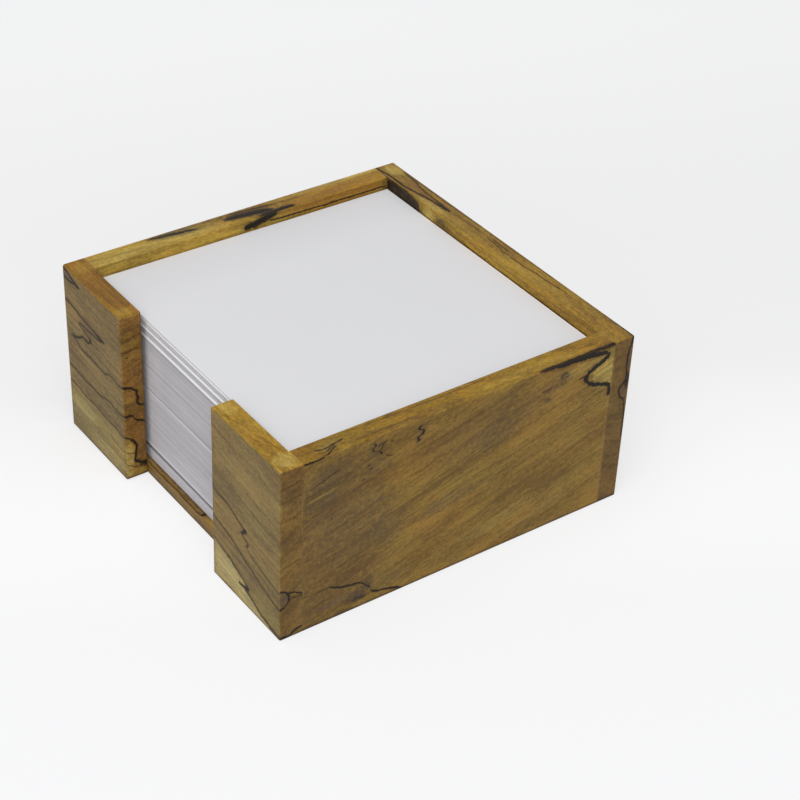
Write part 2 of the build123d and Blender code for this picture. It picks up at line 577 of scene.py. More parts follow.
LEFT_STUB_FRONT = FaceMarks(
    Face.FRONT,
    lines=(
        DarkLine(((-51.5, 50), (-49.2, 49.7), (-47.3, 49.1), (-45.3, 48.6), (-42.5, 47.9)), 0.9, 0.8),
        DarkLine(((-51.5, 47.7), (-49.2, 47.6), (-47.3, 47.8), (-45.3, 48), (-42.9, 47.9)), 0.8, 0.75),
        DarkLine(((-52.2, 40.8), (-47.3, 40.4), (-44.3, 39.8), (-41.3, 39.3), (-37.3, 39), (-34.3, 38.7),
            (-30.2, 38.3)), 0.9, 0.66),
        DarkLine(((-44.6, 36.8), (-42.3, 37.3), (-39.3, 37.2), (-35.3, 37.4), (-31.5, 37.9)), 0.7, 0.65),
        DarkLine(((-44.6, 36.9), (-41.8, 35.8), (-39.8, 35.4), (-37.9, 35.1)), 0.7, 0.6),
        DarkLine(((-38.9, 35.7), (-38.3, 34.7), (-39.1, 33.3)), 1.1, 0.8, 0.5),
        DarkLine(((-48.4, 30.6), (-45.8, 31.6), (-43.8, 32.7), (-42.3, 33.4), (-40.3, 33.3), (-38.5, 33.8)),
            0.9, 0.72),
        DarkLine(((-48.5, 31), (-45.8, 30.1), (-44.3, 29.4), (-42.3, 29), (-39.3, 29), (-35.3, 28.8),
            (-32.4, 28.6), (-30.4, 28.9), (-28.4, 29.6), (-26.4, 29.4), (-23.4, 29.1), (-21.4, 30.2)),
            0.8, 0.55, shore=-2.5, tint=GREY, strength=0.25),
        DarkLine(((-52.2, 20.5), (-47.3, 20.4), (-44.3, 19.9), (-41.3, 19.7), (-38.3, 19.9), (-35.3, 19.7),
            (-32.8, 20), (-30.9, 20.6), (-28.4, 20.7), (-26.9, 20.2), (-24.4, 20.1), (-21.4, 21.2)),
            0.75, 0.55),
        DarkLine(((-52.2, 15.1), (-48.3, 15.2), (-45.3, 14.8), (-42.3, 14.4), (-39.3, 14.7), (-35.3, 14.4),
            (-30.4, 14), (-27.4, 14.1), (-25.4, 13.9), (-23.4, 13.5), (-21.4, 14.2)),
            0.75, 0.42, shore=22, tint=OLIVE, strength=0.85),
        DarkLine(((-30.4, 10.2), (-27.4, 9.2), (-24.4, 8.8), (-21.4, 9.5)), 0.4, 0.4),
        DarkLine(((-37.3, 5.9), (-29.4, 5.6), (-23.4, 5.2), (-21.4, 5.7)), 0.35, 0.3),
    ),
    stains=(
        Stain((-33, 38.2), (3, 0.95), INK, 0.85, -3),
        Stain((-48.5, 30.9), (1.6, 0.7), INK, 0.7, 25),
        Stain((-48.7, 48.7), (3, 1.1), VIOLET, 0.9, -8),
        Stain((-36.3, 38.2), (6, 0.6), VIOLET, 0.5),
        Stain((-31.4, 3.6), (12, 3.4), PALE, 0.35),
        Stain((-26, 7), (4.5, 3), GOLD, 0.35),
        Stain((-44.4, 9), (9, 4.5), PALE, 0.38),
        Stain((-36.3, 45.5), (9, 2.2), OLIVE, 0.25),
        Stain((-40, 35.5), (6, 5.5), UMBER, 0.25),
        Stain((-33.3, 25.6), (9, 1.8), VIOLET, 0.25),
        Stain((-43.3, 27.7), (5, 0.5), PALE, 0.3, -6),
    ),
)
LEFT_STUB_END = FaceMarks(
    Face.GAP_END,
    wash=(1.15, 0.9, 0.64),
    lines=(
        DarkLine(((-52.7, 30.1), (-51.8, 29.1), (-50.5, 28.8), (-49.7, 28.5), (-49.2, 28), (-48, 27.4)),
            0.65, 0.95),
        DarkLine(((-48.3, 27.9), (-48.3, 26.2), (-48, 25), (-48.2, 24), (-47.7, 22.5)), 0.6, 1, 0.4),
        DarkLine(((-48.1, 22.8), (-47, 22.5), (-45.6, 22.1)), 0.55, 0.95, 0.4),
        DarkLine(((-52.7, 20.9), (-51.8, 20.2), (-50.5, 20.1), (-49.8, 19.9), (-49.3, 19.2), (-48.9, 18.5),
            (-48.2, 18), (-47.2, 17.6), (-46.7, 17.2), (-45.6, 16.4)), 0.55, 0.95),
        DarkLine(((-52.7, 14.2), (-51.5, 13.2), (-50.5, 12.6), (-49.8, 11.8), (-49.2, 10.8), (-48.8, 9.8)),
            0.6, 0.95, 0.4),
        DarkLine(((-48.9, 10.3), (-49.2, 8.8), (-49.5, 7.2), (-49.5, 4.9)), 0.65, 1, 0.4),
        DarkLine(((-49.8, 5.4), (-48.6, 5), (-48, 4.5), (-47.3, 4.2), (-46.4, 4), (-45.6, 3.5)), 1, 1, 0.4),
        DarkLine(((-52.7, 9.2), (-51.2, 8.4), (-50.3, 8.3), (-49.4, 8)), 0.3, 0.5),
        DarkLine(((-52.7, 5.4), (-51.3, 4.4), (-50, 3.7), (-48.4, 3)), 0.3, 0.5),
        DarkLine(((-52.7, 43.3), (-50.5, 43.5), (-48.6, 44), (-46, 44.4)), 0.35, 0.35),
        DarkLine(((-52.7, 39.9), (-50, 40), (-46, 40.4)), 0.35, 0.35),
    ),
    stains=(
        Stain((-47.8, 3.3), (0.45, 1.3), INK, 0.95, 12),
        Stain((-47.1, 3.4), (0.4, 1.4), INK, 0.95, 12),
        Stain((-46.5, 3.5), (0.35, 1.2), INK, 0.9, 12),
        Stain((-51.2, 7.5), (2, 7), GOLD, 0.85),
        Stain((-49.5, 1.4), (4, 2), GOLD, 0.75),
        Stain((-51.2, 5), (1.8, 7.5), PALE, 0.3),
        Stain((-49.5, 16.6), (3.8, 2.4), RUST, 0.6),
        Stain((-47.2, 11), (1.9, 6), RUST, 0.65),
        Stain((-47.4, 9.5), (1.8, 6.5), UMBER, 0.4),
        Stain((-49.2, 46.2), (4.2, 1), UMBER, 0.6, 8),
        Stain((-49.8, 41.9), (3.6, 1.4), GOLD, 0.4, 8),
        Stain((-49.2, 43.2), (4.2, 0.6), UMBER, 0.45, 8),
        Stain((-49.2, 50.9), (3.6, 1.2), GOLD, 0.5),
        Stain((-49.4, 47.1), (4, 0.5), UMBER, 0.6, 6),
        Stain((-49.4, 45.3), (4, 0.6), GOLD, 0.35, 6),
        Stain((-49.6, 38), (3.6, 0.7), GOLD, 0.3, 3),
        Stain((-49.4, 36.6), (4, 0.5), UMBER, 0.45, 3),
        Stain((-49.4, 32.6), (4, 0.5), UMBER, 0.5, 3),
        Stain((-50.6, 26.4), (2.4, 0.5), UMBER, 0.5, -8),
        Stain((-50.6, 24.6), (2.4, 0.6), GOLD, 0.4, -8),
        Stain((-50.6, 23.2), (2.4, 0.5), UMBER, 0.45, -8),
        Stain((-50.7, 38.2), (0.5, 0.4), INK, 0.8),
        Stain((-49, 34.5), (4, 5.5), UMBER, 0.3, 4),
        Stain((-46.1, 30), (0.7, 26), UMBER, 0.85),
    ),
)
LEFT_STUB_TOP = FaceMarks(
    Face.TOP,
    wash=(1.21, 0.885, 0.24),
    lines=(
        DarkLine(((-44.9, -46.4), (-39.4, -46.7), (-33.4, -47)), 0.25, 0.3),
    ),
    stains=(
        Stain((-35.4, -49.1), (13, 2.6), RUST, 0.5, 2),
        Stain((-47.8, -48.6), (3.2, 3.2), GOLD, 0.35),
        Stain((-24, -49.6), (2.6, 3), GOLD, 0.5),
    ),
)
RIGHT_STUB_FRONT = FaceMarks(
    Face.FRONT,
    lines=(
        DarkLine(((21.1, 29.6), (22.7, 28), (24.3, 26.8), (26.1, 26.7), (28.1, 26.6), (30.1, 26.1),
            (32.1, 25.4), (33.6, 24.7), (37, 23.6)), 0.75, 0.6, 0.3),
        DarkLine(((37.3, 24.2), (36.7, 23), (35.2, 21.5)), 1.3, 0.8, 0.4),
        DarkLine(((35.2, 22), (36.5, 21.1), (37.6, 20.6), (38.8, 20.2)), 0.7, 0.6, 0.4),
        DarkLine(((38.6, 20.6), (37.9, 19.5), (37.2, 18.7)), 0.9, 0.65, 0.4),
        DarkLine(((37.4, 19.1), (38.7, 18.3), (40.1, 17.5), (42.1, 16.9), (45.1, 16.1), (48.1, 15.5),
            (52.5, 14.7)), 0.7, 0.5, 0.5),
        DarkLine(((21.6, 19.1), (24.1, 18.5), (27.1, 17.6), (30.1, 17), (32.6, 16.2), (34.6, 15.4),
            (36.1, 14.6), (39.1, 13.6), (42.1, 12.4), (44.1, 11.7), (47.1, 11.1), (49.6, 10.2),
            (52.5, 9.8)), 0.8, 0.55),
        DarkLine(((21.6, 12.2), (25.1, 11.4), (28.1, 10.6), (30.1, 10.2), (32.1, 9.2), (34.1, 8.4),
            (36.1, 7.5), (38.5, 6.3)), 0.7, 0.5, 0.6, shore=26, tint=PALE, strength=0.8),
        DarkLine(((28.2, 10.1), (29.4, 10.1), (31.4, 9.4), (33.4, 8.6)), 0.8, 0.6),
        DarkLine(((33.6, 5.4), (35.7, 5.5), (37.1, 5.7), (38.9, 6.3)), 0.9, 0.85),
        DarkLine(((36, 5.5), (38.1, 4.8), (40.1, 4.1), (42.1, 3.2), (44.1, 2.4), (46.6, 1.9), (48.6, 1.3),
            (52.5, 0.8)), 0.85, 0.68, shore=12, tint=PALE, strength=0.7),
        DarkLine(((22.6, 4), (27.1, 3.2), (33.1, 2.5)), 0.35, 0.35),
        DarkLine(((25.6, 0.4), (29.1, 0.7), (33.1, 0.4)), 0.35, 0.5),
    ),
    stains=(
        Stain((37.7, 6.1), (1.6, 1.3), INK, 0.85),
        Stain((36.9, 23.2), (1.1, 1), INK, 0.7),
        Stain((30.1, 37.6), (9, 1.6), OLIVE, 0.5, -3),
        Stain((32.1, 33.8), (10, 1.8), UMBER, 0.3, -3),
        Stain((38.1, 12.1), (9, 2.2), VIOLET, 0.25, -14),
        Stain((28.1, 13.7), (7, 1.6), RUST, 0.3, -12),
        Stain((27.1, 48.5), (5, 1), UMBER, 0.3),
        Stain((30, 1), (10, 0.9), GOLD, 0.3),
        Stain((46.6, 6.2), (8.5, 3.2), OLIVE, 0.85, -14),
    ),
)
RIGHT_STUB_END = FaceMarks(
    Face.RIGHT,
    wash=(0.85, 0.725, 0.57),
    lines=(
        DarkLine(((-52.4, 15.4), (-51.2, 15.1), (-50.6, 14.6), (-49.7, 13.5)), 0.5, 0.95, 0.4),
        DarkLine(((-49.9, 14.1), (-49.8, 12.9), (-49.9, 11.7), (-50.6, 10.7), (-51.5, 10.2)),
            0.5, 0.95, 0.4),
        DarkLine(((-52.6, 9.9), (-51.6, 10.1), (-50.6, 10.5)), 0.55, 0.95, 0.4),
        DarkLine(((-50.2, 14.1), (-48.6, 13.9), (-47.4, 13.1), (-45.8, 12.4)), 0.42, 0.85, 0.4),
        DarkLine(((-49.8, 11.8), (-48, 12.2), (-46, 11.9)), 0.35, 0.7, 0.4),
        DarkLine(((-52.4, 0.9), (-50, 0.7), (-49, 1.2), (-47.5, 2), (-45.8, 2.2)), 0.6, 0.95, 0.4),
        DarkLine(((-52.6, 45.2), (-50, 45.6), (-46.2, 46.6)), 0.5, 0.35),
        DarkLine(((-52.6, 41.4), (-50, 41.7), (-46.2, 42.5)), 0.5, 0.35),
        DarkLine(((-52.6, 35.9), (-50, 36.2), (-46.2, 36.9)), 0.5, 0.3),
        DarkLine(((-52.6, 21.9), (-50, 22.4), (-46.2, 23.3)), 0.5, 0.3),
    ),
    stains=(
        Stain((-51.5, 12.7), (1.9, 2.6), VIOLET, 0.75),
        Stain((-49.2, 43.5), (4.2, 1), UMBER, 0.5, 10),
        Stain((-49.2, 38.6), (4.2, 0.8), UMBER, 0.4, 10),
        Stain((-49.2, 30), (4.2, 2), UMBER, 0.3, 10),
        Stain((-49.2, 6.2), (4.2, 3.6), RUST, 0.4),
    ),
)
RIGHT_STUB_TOP = FaceMarks(
    Face.TOP,
    wash=(1.55, 1.33, 0.5),
    stains=(
        Stain((48.7, -48.8), (3.4, 3.4), STRAW, 0.55),
        Stain((36.1, -49.7), (8, 2.4), RUST, 0.3, 3),
        Stain((24.6, -49.2), (3.4, 2.6), STRAW, 0.3),
    ),
)
REAR_WALL_END = FaceMarks(
    Face.RIGHT,
    wash=(0.61, 0.56, 0.65),
    lines=(
        DarkLine(((51.8, 50.9), (51.4, 48.2), (50.8, 46.3), (50.6, 42), (50.9, 40.4), (51.2, 38.5)),
            0.5, 0.9),
        DarkLine(((51.2, 37.9), (50.2, 37), (49.5, 36.1), (49, 35.2), (48.9, 34.8)), 0.6, 0.95, 0.4),
        DarkLine(((48.9, 35.4), (49.2, 33.7), (49.9, 32.5), (50.8, 31.8)), 0.55, 0.9, 0.4),
        DarkLine(((50.4, 32.6), (51.1, 30.6), (51.5, 26), (51.7, 19)), 0.45, 0.7),
    ),
    stains=(
        Stain((51.2, 37.4), (1.1, 2.8), INK, 0.95),
        Stain((50.4, 34.6), (1, 1.9), VIOLET, 0.7),
        Stain((48.6, 16.1), (3.8, 14), UMBER, 0.35),
        Stain((51.4, 44), (0.8, 6), VIOLET, 0.45),
    ),
)
REAR_WALL_TOP = FaceMarks(
    Face.TOP,
    wash=(1.03, 0.97, 0.68),
    lines=(
        DarkLine(((-46.4, 51.5), (-39.5, 50.9), (-35.5, 50.1), (-29.5, 49.8), (-21.2, 49.3)),
            0.7, 0.62, 2.4),
        # Painted shade: a faint dark line along the top's far arris.
        DarkLine(((-44, 51.7), (-30, 51.6), (-10, 51.7), (8, 51.6), (22, 51.7)), 0.5, 0.35, 4),
        DarkLine(((-52.4, 46.2), (-49.9, 46.3), (-45.4, 46.8), (-39.5, 46.9), (-34.5, 47.6), (-31.5, 48.2),
            (-27.5, 48.7), (-20.9, 49.3)), 0.9, 0.78),
        DarkLine(((-5.7, 49.6), (0.3, 49.2), (5.3, 48.8), (12.2, 48.9), (16.2, 49.4), (22.2, 49.7),
            (29.1, 50.2)), 0.35, 0.65, 3),
        DarkLine(((-3.7, 50.5), (0.3, 50.1), (3.8, 50.2)), 0.4, 0.6),
        DarkLine(((-19.6, 49.5), (-12.6, 50), (-7.7, 49.9)), 0.3, 0.4),
        DarkLine(((40.1, 52.1), (46, 52), (52.3, 51.8)), 0.45, 0.95),
    ),
    stains=(
        Stain((-36.5, 48.9), (14, 2.2), UMBER, 0.55, -8),
        Stain((-33.5, 49), (11, 1.2), RUST, 0.7, -6),
        Stain((-24.2, 49.2), (3.6, 1), INK, 0.7, 4),
        Stain((-14, 49.9), (9, 0.9), UMBER, 0.45, 2),
        Stain((-32.5, 51.5), (18, 0.7), GREY, 0.5, -1),
        Stain((-26.6, 47.1), (7, 1.4), STRAW, 0.4),
        Stain((-48.4, 49.6), (3.8, 2.4), STRAW, 0.5),
        Stain((1.3, 49.9), (8, 0.9), UMBER, 0.5),
        Stain((20.2, 47.4), (20, 1.7), GOLD, 0.4, 2),
        Stain((-13.6, 46.4), (9, 0.8), GREY, 0.45),
    ),
)
REAR_WALL_INNER = FaceMarks(
    Face.INNER_REAR,
    # The wash lightens and warms this inner face: painted light.
    wash=(1.25, 1.19, 0.78),
    lines=(
        DarkLine(((-46.8, 50.6), (-41.1, 50.1), (-36.1, 49.6), (-32.1, 48.9), (-30.2, 48.2)),
            1.9, 0.62, 1.4),
        DarkLine(((-46.8, 49.2), (-41.1, 49), (-36.1, 48.6), (-32.1, 48.1), (-30.2, 47.4)), 2.2, 0.66, 1.2),
        DarkLine(((-46.8, 47.6), (-40.1, 47.5), (-34.1, 47.2), (-30, 46.9)), 2.2, 0.66, 1.4),
        DarkLine(((-23.6, 47.4), (-19.6, 47.8), (-15.2, 47.6), (-8.2, 47.3)), 0.8, 0.3, 2),
        # Painted shadow: a dark line along the top edge of the paper stack, where it meets the wall.
        DarkLine(((-22, 46.9), (0, 46.8), (20, 46.7), (42, 46.5)), 0.5, 0.4),
    ),
    stains=(
        Stain((-39.5, 48.2), (12, 3.2), CHARCOAL, 0.95, -4),
        Stain((-20.6, 48), (3.8, 2), CHARCOAL, 0.7),
        Stain((-26.4, 48.3), (3.2, 2), STRAW, 0.5),
    ),
)
LEFT_WALL_TOP = FaceMarks(
    Face.TOP,
    wash=(1.12, 1.1, 0.76),
    lines=(
        DarkLine(((-51.3, -29.2), (-50.6, -23.2), (-49.9, -18.2), (-49.1, -12.4)), 0.9, 1, 4),
        DarkLine(((-49.4, -6.7), (-49, -1.2), (-48.4, 4.8), (-47.6, 10.3)), 1.5, 1, 4),
        DarkLine(((-51.3, -4.2), (-50.9, 1.8), (-50.2, 7.8), (-49.6, 12.8)), 0.8, 0.6, 4),
        DarkLine(((-44.9, 0.6), (-45.7, 3.8), (-46.3, 7.8), (-46.6, 11.8), (-46.6, 15.8)), 1.5, 1, 1.5),
        DarkLine(((-49.6, 10.8), (-49.6, 16.8), (-50, 21.8)), 0.35, 0.4, 3),
        DarkLine(((-45.7, 17.8), (-45.8, 30.8), (-45.8, 45.3)), 0.35, 0.55, 2),
        DarkLine(((-52, 46), (-48.4, 45.9), (-45.6, 45.8)), 0.4, 0.6),
    ),
    stains=(
        Stain((-50, -17), (2.8, 14), UMBER, 0.85, -5),
        Stain((-49.4, 3), (3.3, 14), UMBER, 0.85, -5),
        Stain((-49.7, 17), (1.1, 9), GREY, 0.55, -2),
        Stain((-49.8, -18.8), (1.9, 9), INK, 0.93, -6),
        Stain((-49.1, 1.6), (2.1, 9), INK, 0.93, -5),
        Stain((-46.4, 9.6), (1.35, 7), INK, 0.95, 7),
        Stain((-47.3, 6.8), (1.6, 3.5), INK, 0.85),
        Stain((-50.9, 4.8), (1.3, 10), UMBER, 0.75, -4),
        Stain((-51.4, -16.2), (0.9, 14), GREY, 0.5),
        Stain((-47, -24.2), (5, 24), STRAW, 0.36),
        Stain((-48.6, -41), (5, 10), STRAW, 0.35),
        Stain((-48.2, 30), (4.2, 21), AMBER, 0.65),
        Stain((-47, 28.8), (2, 20), RUST, 0.35),
        Stain((-51.3, 30.8), (1.5, 20), STRAW, 0.6),
        Stain((-47, 46.6), (6, 1), UMBER, 0.6),
    ),
)
LEFT_WALL_INNER = FaceMarks(
    Face.INNER_LEFT,
    # The wash lightens this inner face a little: painted light.
    wash=(1.03, 1.06, 1.08),
    lines=(
        DarkLine(((6.1, 48.4), (15.1, 48.1), (30.1, 47.9), (46.1, 47.9)), 0.45, 0.85, 2),
        DarkLine(((-1.5, 48.3), (3.1, 48.9), (7.1, 49.8), (10.1, 50.6)), 1.7, 1, 1.5),
    ),
    stains=(
        Stain((4, 49), (7, 1.4), INK, 0.97, 11),
        Stain((29, 49.2), (22, 2.6), AMBER, 0.8),
        Stain((24.1, 49.4), (16, 0.9), RUST, 0.4),
        Stain((46, 48.5), (2.2, 2.6), CHARCOAL, 0.8),
    ),
)
BASE_TOP_FRONT = FaceMarks(
    Face.BASE_TOP,
    # The wash darkens and cools the base's top: painted shade in front of the paper stack.
    wash=(0.91, 0.91, 1.1),
    lines=(
        DarkLine(((-22.5, -45.7), (-15, -45.8), (-8, -45.7), (-2, -45.8), (5, -45.7)), 0.35, 0.6),
        DarkLine(((4.4, -46), (5, -45.5), (5, -44.9), (4.6, -44.1)), 0.8, 0.9, 0.3),
        # Painted contact shadow: a dark line at the foot of the paper stack's front.
        DarkLine(((-22.5, -44.2), (-8, -44.3), (5, -44.3)), 0.4, 0.6),
    ),
    stains=(
        # A rust-brown band along the strip in front of the stack: the wood's colour and painted shade.
        Stain((-8, -44.8), (20, 0.9), RUST, 0.6),
        Stain((10, -44.8), (4, 1.2), GOLD, 0.4),
    ),
)
BASE_FRONT = FaceMarks(
    Face.BASE_FRONT,
    wash=(0.95, 0.87, 0.66),
    lines=(
        DarkLine(((14, 3), (17, 2.4), (19, 1.6), (21, 0.8)), 0.5, 0.9),
        DarkLine(((16.5, 3.3), (18, 2.9), (20, 2.7), (22.5, 2.1)), 0.4, 0.8),
    ),
    stains=(
        Stain((-8, 1.2), (16, 0.8), OLIVE, 0.35),
        Stain((-16, 2.6), (7, 0.9), RUST, 0.4),
        Stain((18.6, 2), (1.4, 0.8), INK, 0.6),
    ),
)


# ---------------------------------------------------------------- shared effects


class Effects:
    """The shader node groups that the finishes share, each built once.

    Lengths are in millimetres and a scale is per millimetre, three numbers being along the fibres,
    outward and round the trunk. Where two numbers are levels, an end or a taper, something begins
    at the first and is complete at the second. Where they are a spread, a value is multiplied by
    the first and the second is added.
    """

    # Growth rings: how they bend and crowd, how late in a ring its dark wood comes, and the tones.
    # Crowding, its scale and that of the bands are counted in rings.
    BEND_SCALE: Triple = (0.020, 0.07, 0.07)
    CROWDING_SCALE = 0.37
    CROWDING = 2.6
    LATENESS = 3.5
    RING_END: Point = (1.0, 0.90)
    BANDS_SCALE = 0.55
    # Fibres: the levels of their noise at which pores and ray flecks show.
    PORE_LEVELS: Point = (0.60, 0.72)
    RAY_LEVELS: Point = (0.60, 0.70)
    # Zone strokes: a line's width, its core as blur and solid share, its halo, and its shore.
    WIDTH_SPREAD: Point = (1.5, 0.25)
    CORE_BLUR = 0.12
    CORE_SOLID = 0.55
    HALO_SPREAD: Point = (2.2, 0.35)
    HALO_SHARE = 0.22
    THIN_LEVELS: Point = (0.0, 0.4)
    SHORE_LEVELS: Point = (0.0, 0.04)
    SHORE_END: Point = (1.0, 0.25)
    SHORE_TAPER: Point = (0.0, 2.5)
    # Stain patches: how frayed the edge is, where it lies as a share of the reach, and the mottle.
    FRAY = 1.1
    PATCH_END: Point = (1.1, 0.45)
    MOTTLE_LEVELS: Point = (0.30, 0.62)
    MOTTLE_LEAST = 0.35
    # The zone web: its slow noise, and in levels of it how jagged its lines are and where the tint
    # on one side begins. Solid is the share of a line's width that is fully dark.
    WEB_SCALE: Triple = (0.018, 0.060, 0.060)
    WEB_JAG = 0.035
    WEB_SPREAD: Point = (1.6, 0.2)
    WEB_SOLID = 0.4
    WEB_SIDE_LEVELS: Point = (-0.01, 0.04)
    # Worn arrises and glue seams: where the wood is bare, where it was rubbed, and a seam's width.
    BARE_WITHIN = 0.1
    RUBBED_LEVELS: Point = (0.30, 0.65)
    SEAM_SPREAD: Point = (0.22, 0.03)

    def __init__(self) -> None:
        """Build all groups."""
        self.grain_place = self._grain_place()
        self.growth = self._growth()
        self.fibres = self._fibres()
        self.zone_stroke = self._zone_stroke()
        self.stain_patch = self._stain_patch()
        self.zone_web = self._zone_web()
        self.arris_wear = self._arris_wear()
        self.glue_seam = self._glue_seam()

    @staticmethod
    def _grain_place() -> EffectGroup:
        """Turn object coordinates into millimetres along the fibres, outward and round the trunk.

        Returns:
            The group.
        """
        takes = {"Object Place": ZERO, "Fibre": (1.0, 0.0, 0.0), "Radial": UP, "Shift": ZERO}
        group = EffectGroup("grain_place", takes, ["Grain Place"])
        fibre, radial = group.taken["Fibre"], group.taken["Radial"]
        place = group.scale(group.taken["Object Place"], 1 / MM)
        axes = (fibre, radial, group.vector("CROSS_PRODUCT", fibre, radial))
        own = group.combine(*(group.vector("DOT_PRODUCT", place, axis) for axis in axes))
        group.give("Grain Place", group.vector("ADD", own, group.taken["Shift"]))
        return group

    def _growth(self) -> EffectGroup:
        """Make growth rings round a pith, unevenly spaced, and the broad tone that changes from ring to ring.

        Returns:
            The group.
        """
        takes = {"Grain Place": ZERO, "Pith": (0.0, 60.0, 0.0), "Spacing": 3.0, "Waver": 2.0}
        group = EffectGroup("growth", takes, ["Rings", "Bands"])
        taken = group.taken
        place = taken["Grain Place"]
        slow = group.noise(group.vector("MULTIPLY", place, self.BEND_SCALE), detail=3.0)[1]
        bend = group.scale(group.vector("SUBTRACT", slow, (NOISE_MIDDLE,) * 3), taken["Waver"])
        off_pith = group.vector("SUBTRACT", group.vector("ADD", place, bend), taken["Pith"])
        distance = group.vector("LENGTH", group.vector("MULTIPLY", off_pith, (0.0, 1.0, 1.0)))
        radius = group.math("DIVIDE", distance, taken["Spacing"])
        uneven = group.line_noise(radius, scale=self.CROWDING_SCALE, detail=1.0)
        count = group.plus(radius, group.times(uneven, self.CROWDING))
        # A ring darkens slowly to its late wood, and then the next one begins at once.
        share = group.math("FRACT", count)
        late = group.math("POWER", share, self.LATENESS)
        group.give("Rings", group.times(late, group.ease(share, *self.RING_END)))
        group.give("Bands", group.line_noise(count, scale=self.BANDS_SCALE, detail=3.0))
        return group

    def _fibres(self) -> EffectGroup:
        """Make streaks, grit, pores and ray flecks, drawn out along the grain, and a slow mottle.

        Returns:
            The group.
        """
        gives = ["Streaks", "Fine", "Grit", "Pores", "Rays", "Mottle", "Hue"]
        group = EffectGroup("fibres", {"Grain Place": ZERO}, gives)

        def drawn_out(scale: Triple, detail: float, roughness: float) -> Sockets:
            """Add a noise with its own scale along the fibres, outward and round the trunk."""
            place = group.vector("MULTIPLY", group.taken["Grain Place"], scale)
            return group.noise(place, detail=detail, roughness=roughness)

        group.give("Streaks", drawn_out((0.07, 0.8, 0.8), 5.0, 0.62)[0])
        group.give("Fine", drawn_out((0.3, 3.0, 3.0), 3.0, 0.6)[0])
        group.give("Grit", drawn_out((0.9, 1.6, 1.6), 4.0, 0.7)[0])
        group.give("Pores", group.ease(drawn_out((0.75, 13.0, 13.0), 1.0, 0.5)[0], *self.PORE_LEVELS))
        group.give("Rays", group.ease(drawn_out((0.42, 0.16, 3.6), 2.0, 0.5)[0], *self.RAY_LEVELS))
        slow = drawn_out((0.045, 0.11, 0.11), 4.0, 0.6)
        group.give("Mottle", slow[0])
        group.give("Hue", group.separate(slow[1])[1])
        return group

    def _zone_stroke(self) -> EffectGroup:
        """Make the ink and the shore of one zone line whose course a curve gives.

        Returns:
            The group.
        """
        takes = {
            "Along": 0.0, "Across": 0.0, "Start": 0.0, "End": 1.0, "Course": 0.5, "Low": 0.0, "High": 1.0,
            "Width": 0.5, "Taper": 1.0, "Swell": 0.5, "Shore": 1.0,
        }
        group = EffectGroup("zone_stroke", takes, ["Ink", "Shore"])
        taken = group.taken
        line = group.fma(taken["Course"], group.minus(taken["High"], taken["Low"]), taken["Low"])
        above = group.minus(taken["Across"], line)
        from_start = group.minus(taken["Along"], taken["Start"])
        end_room = group.math("MINIMUM", from_start, group.minus(taken["End"], taken["Along"]))
        ending = group.ease(end_room, 0.0, taken["Taper"])
        swollen = group.times(taken["Width"], group.fma(taken["Swell"], *self.WIDTH_SPREAD))
        half = group.times(swollen, group.times(ending, 0.5))
        away = group.math("ABSOLUTE", above)
        # The line is a dark core with a faint halo, and nothing shows past its ends.
        core = group.ease(away, group.plus(half, self.CORE_BLUR), group.times(half, self.CORE_SOLID))
        halo = group.ease(away, group.fma(half, *self.HALO_SPREAD), half)
        halo = group.times(halo, self.HALO_SHARE)
        shown = group.math("GREATER_THAN", end_room, 0.0)
        shown = group.times(shown, group.ease(ending, *self.THIN_LEVELS))
        group.give("Ink", group.times(group.math("MAXIMUM", core, halo), shown))
        depth = group.math("DIVIDE", group.times(above, -1.0), taken["Shore"])
        strip = group.times(group.ease(depth, *self.SHORE_LEVELS), group.ease(depth, *self.SHORE_END))
        group.give("Shore", group.times(strip, group.ease(end_room, *self.SHORE_TAPER)))
        return group

    def _stain_patch(self) -> EffectGroup:
        """Make an oval patch with a frayed edge.

        Returns:
            The group.
        """
        takes = {"Spot": ZERO, "Centre": ZERO, "Turn": 0.0, "Reach": EVEN, "Fray": 0.5, "Mottle": 0.5}
        group = EffectGroup("stain_patch", takes, ["Patch"])
        taken = group.taken
        plugs = {"Vector": group.vector("SUBTRACT", taken["Spot"], taken["Centre"]), "Angle": taken["Turn"]}
        turned = group.add("ShaderNodeVectorRotate", plugs, rotation_type="Z_AXIS").outputs[0]
        far = group.vector("LENGTH", group.vector("DIVIDE", turned, taken["Reach"]))
        patch = group.ease(group.swing(taken["Fray"], self.FRAY, far), *self.PATCH_END)
        mottle = group.ease(taken["Mottle"], *self.MOTTLE_LEVELS, self.MOTTLE_LEAST, 1.0)
        group.give("Patch", group.times(patch, mottle))
        return group

    def _zone_web(self) -> EffectGroup:
        """Make zone lines where two growths met: the sheets in which a slow noise crosses a level.

        Returns:
            The group.
        """
        takes = {"Grain Place": ZERO, "Level": 0.5, "Width": 0.02}
        group = EffectGroup("zone_web", takes, ["Web", "Side"])
        taken = group.taken
        jagged = group.noise(taken["Grain Place"], scale=0.55, detail=3.0, roughness=0.6)[0]
        long_drawn = group.vector("MULTIPLY", taken["Grain Place"], self.WEB_SCALE)
        slow = group.noise(long_drawn, detail=1.0, roughness=0.4)[0]
        away = group.minus(group.swing(jagged, self.WEB_JAG, slow), taken["Level"])
        width = group.times(taken["Width"], group.fma(jagged, *self.WEB_SPREAD))
        solid = group.times(width, self.WEB_SOLID)
        group.give("Web", group.ease(group.math("ABSOLUTE", away), width, solid))
        group.give("Side", group.ease(away, *self.WEB_SIDE_LEVELS))
        return group

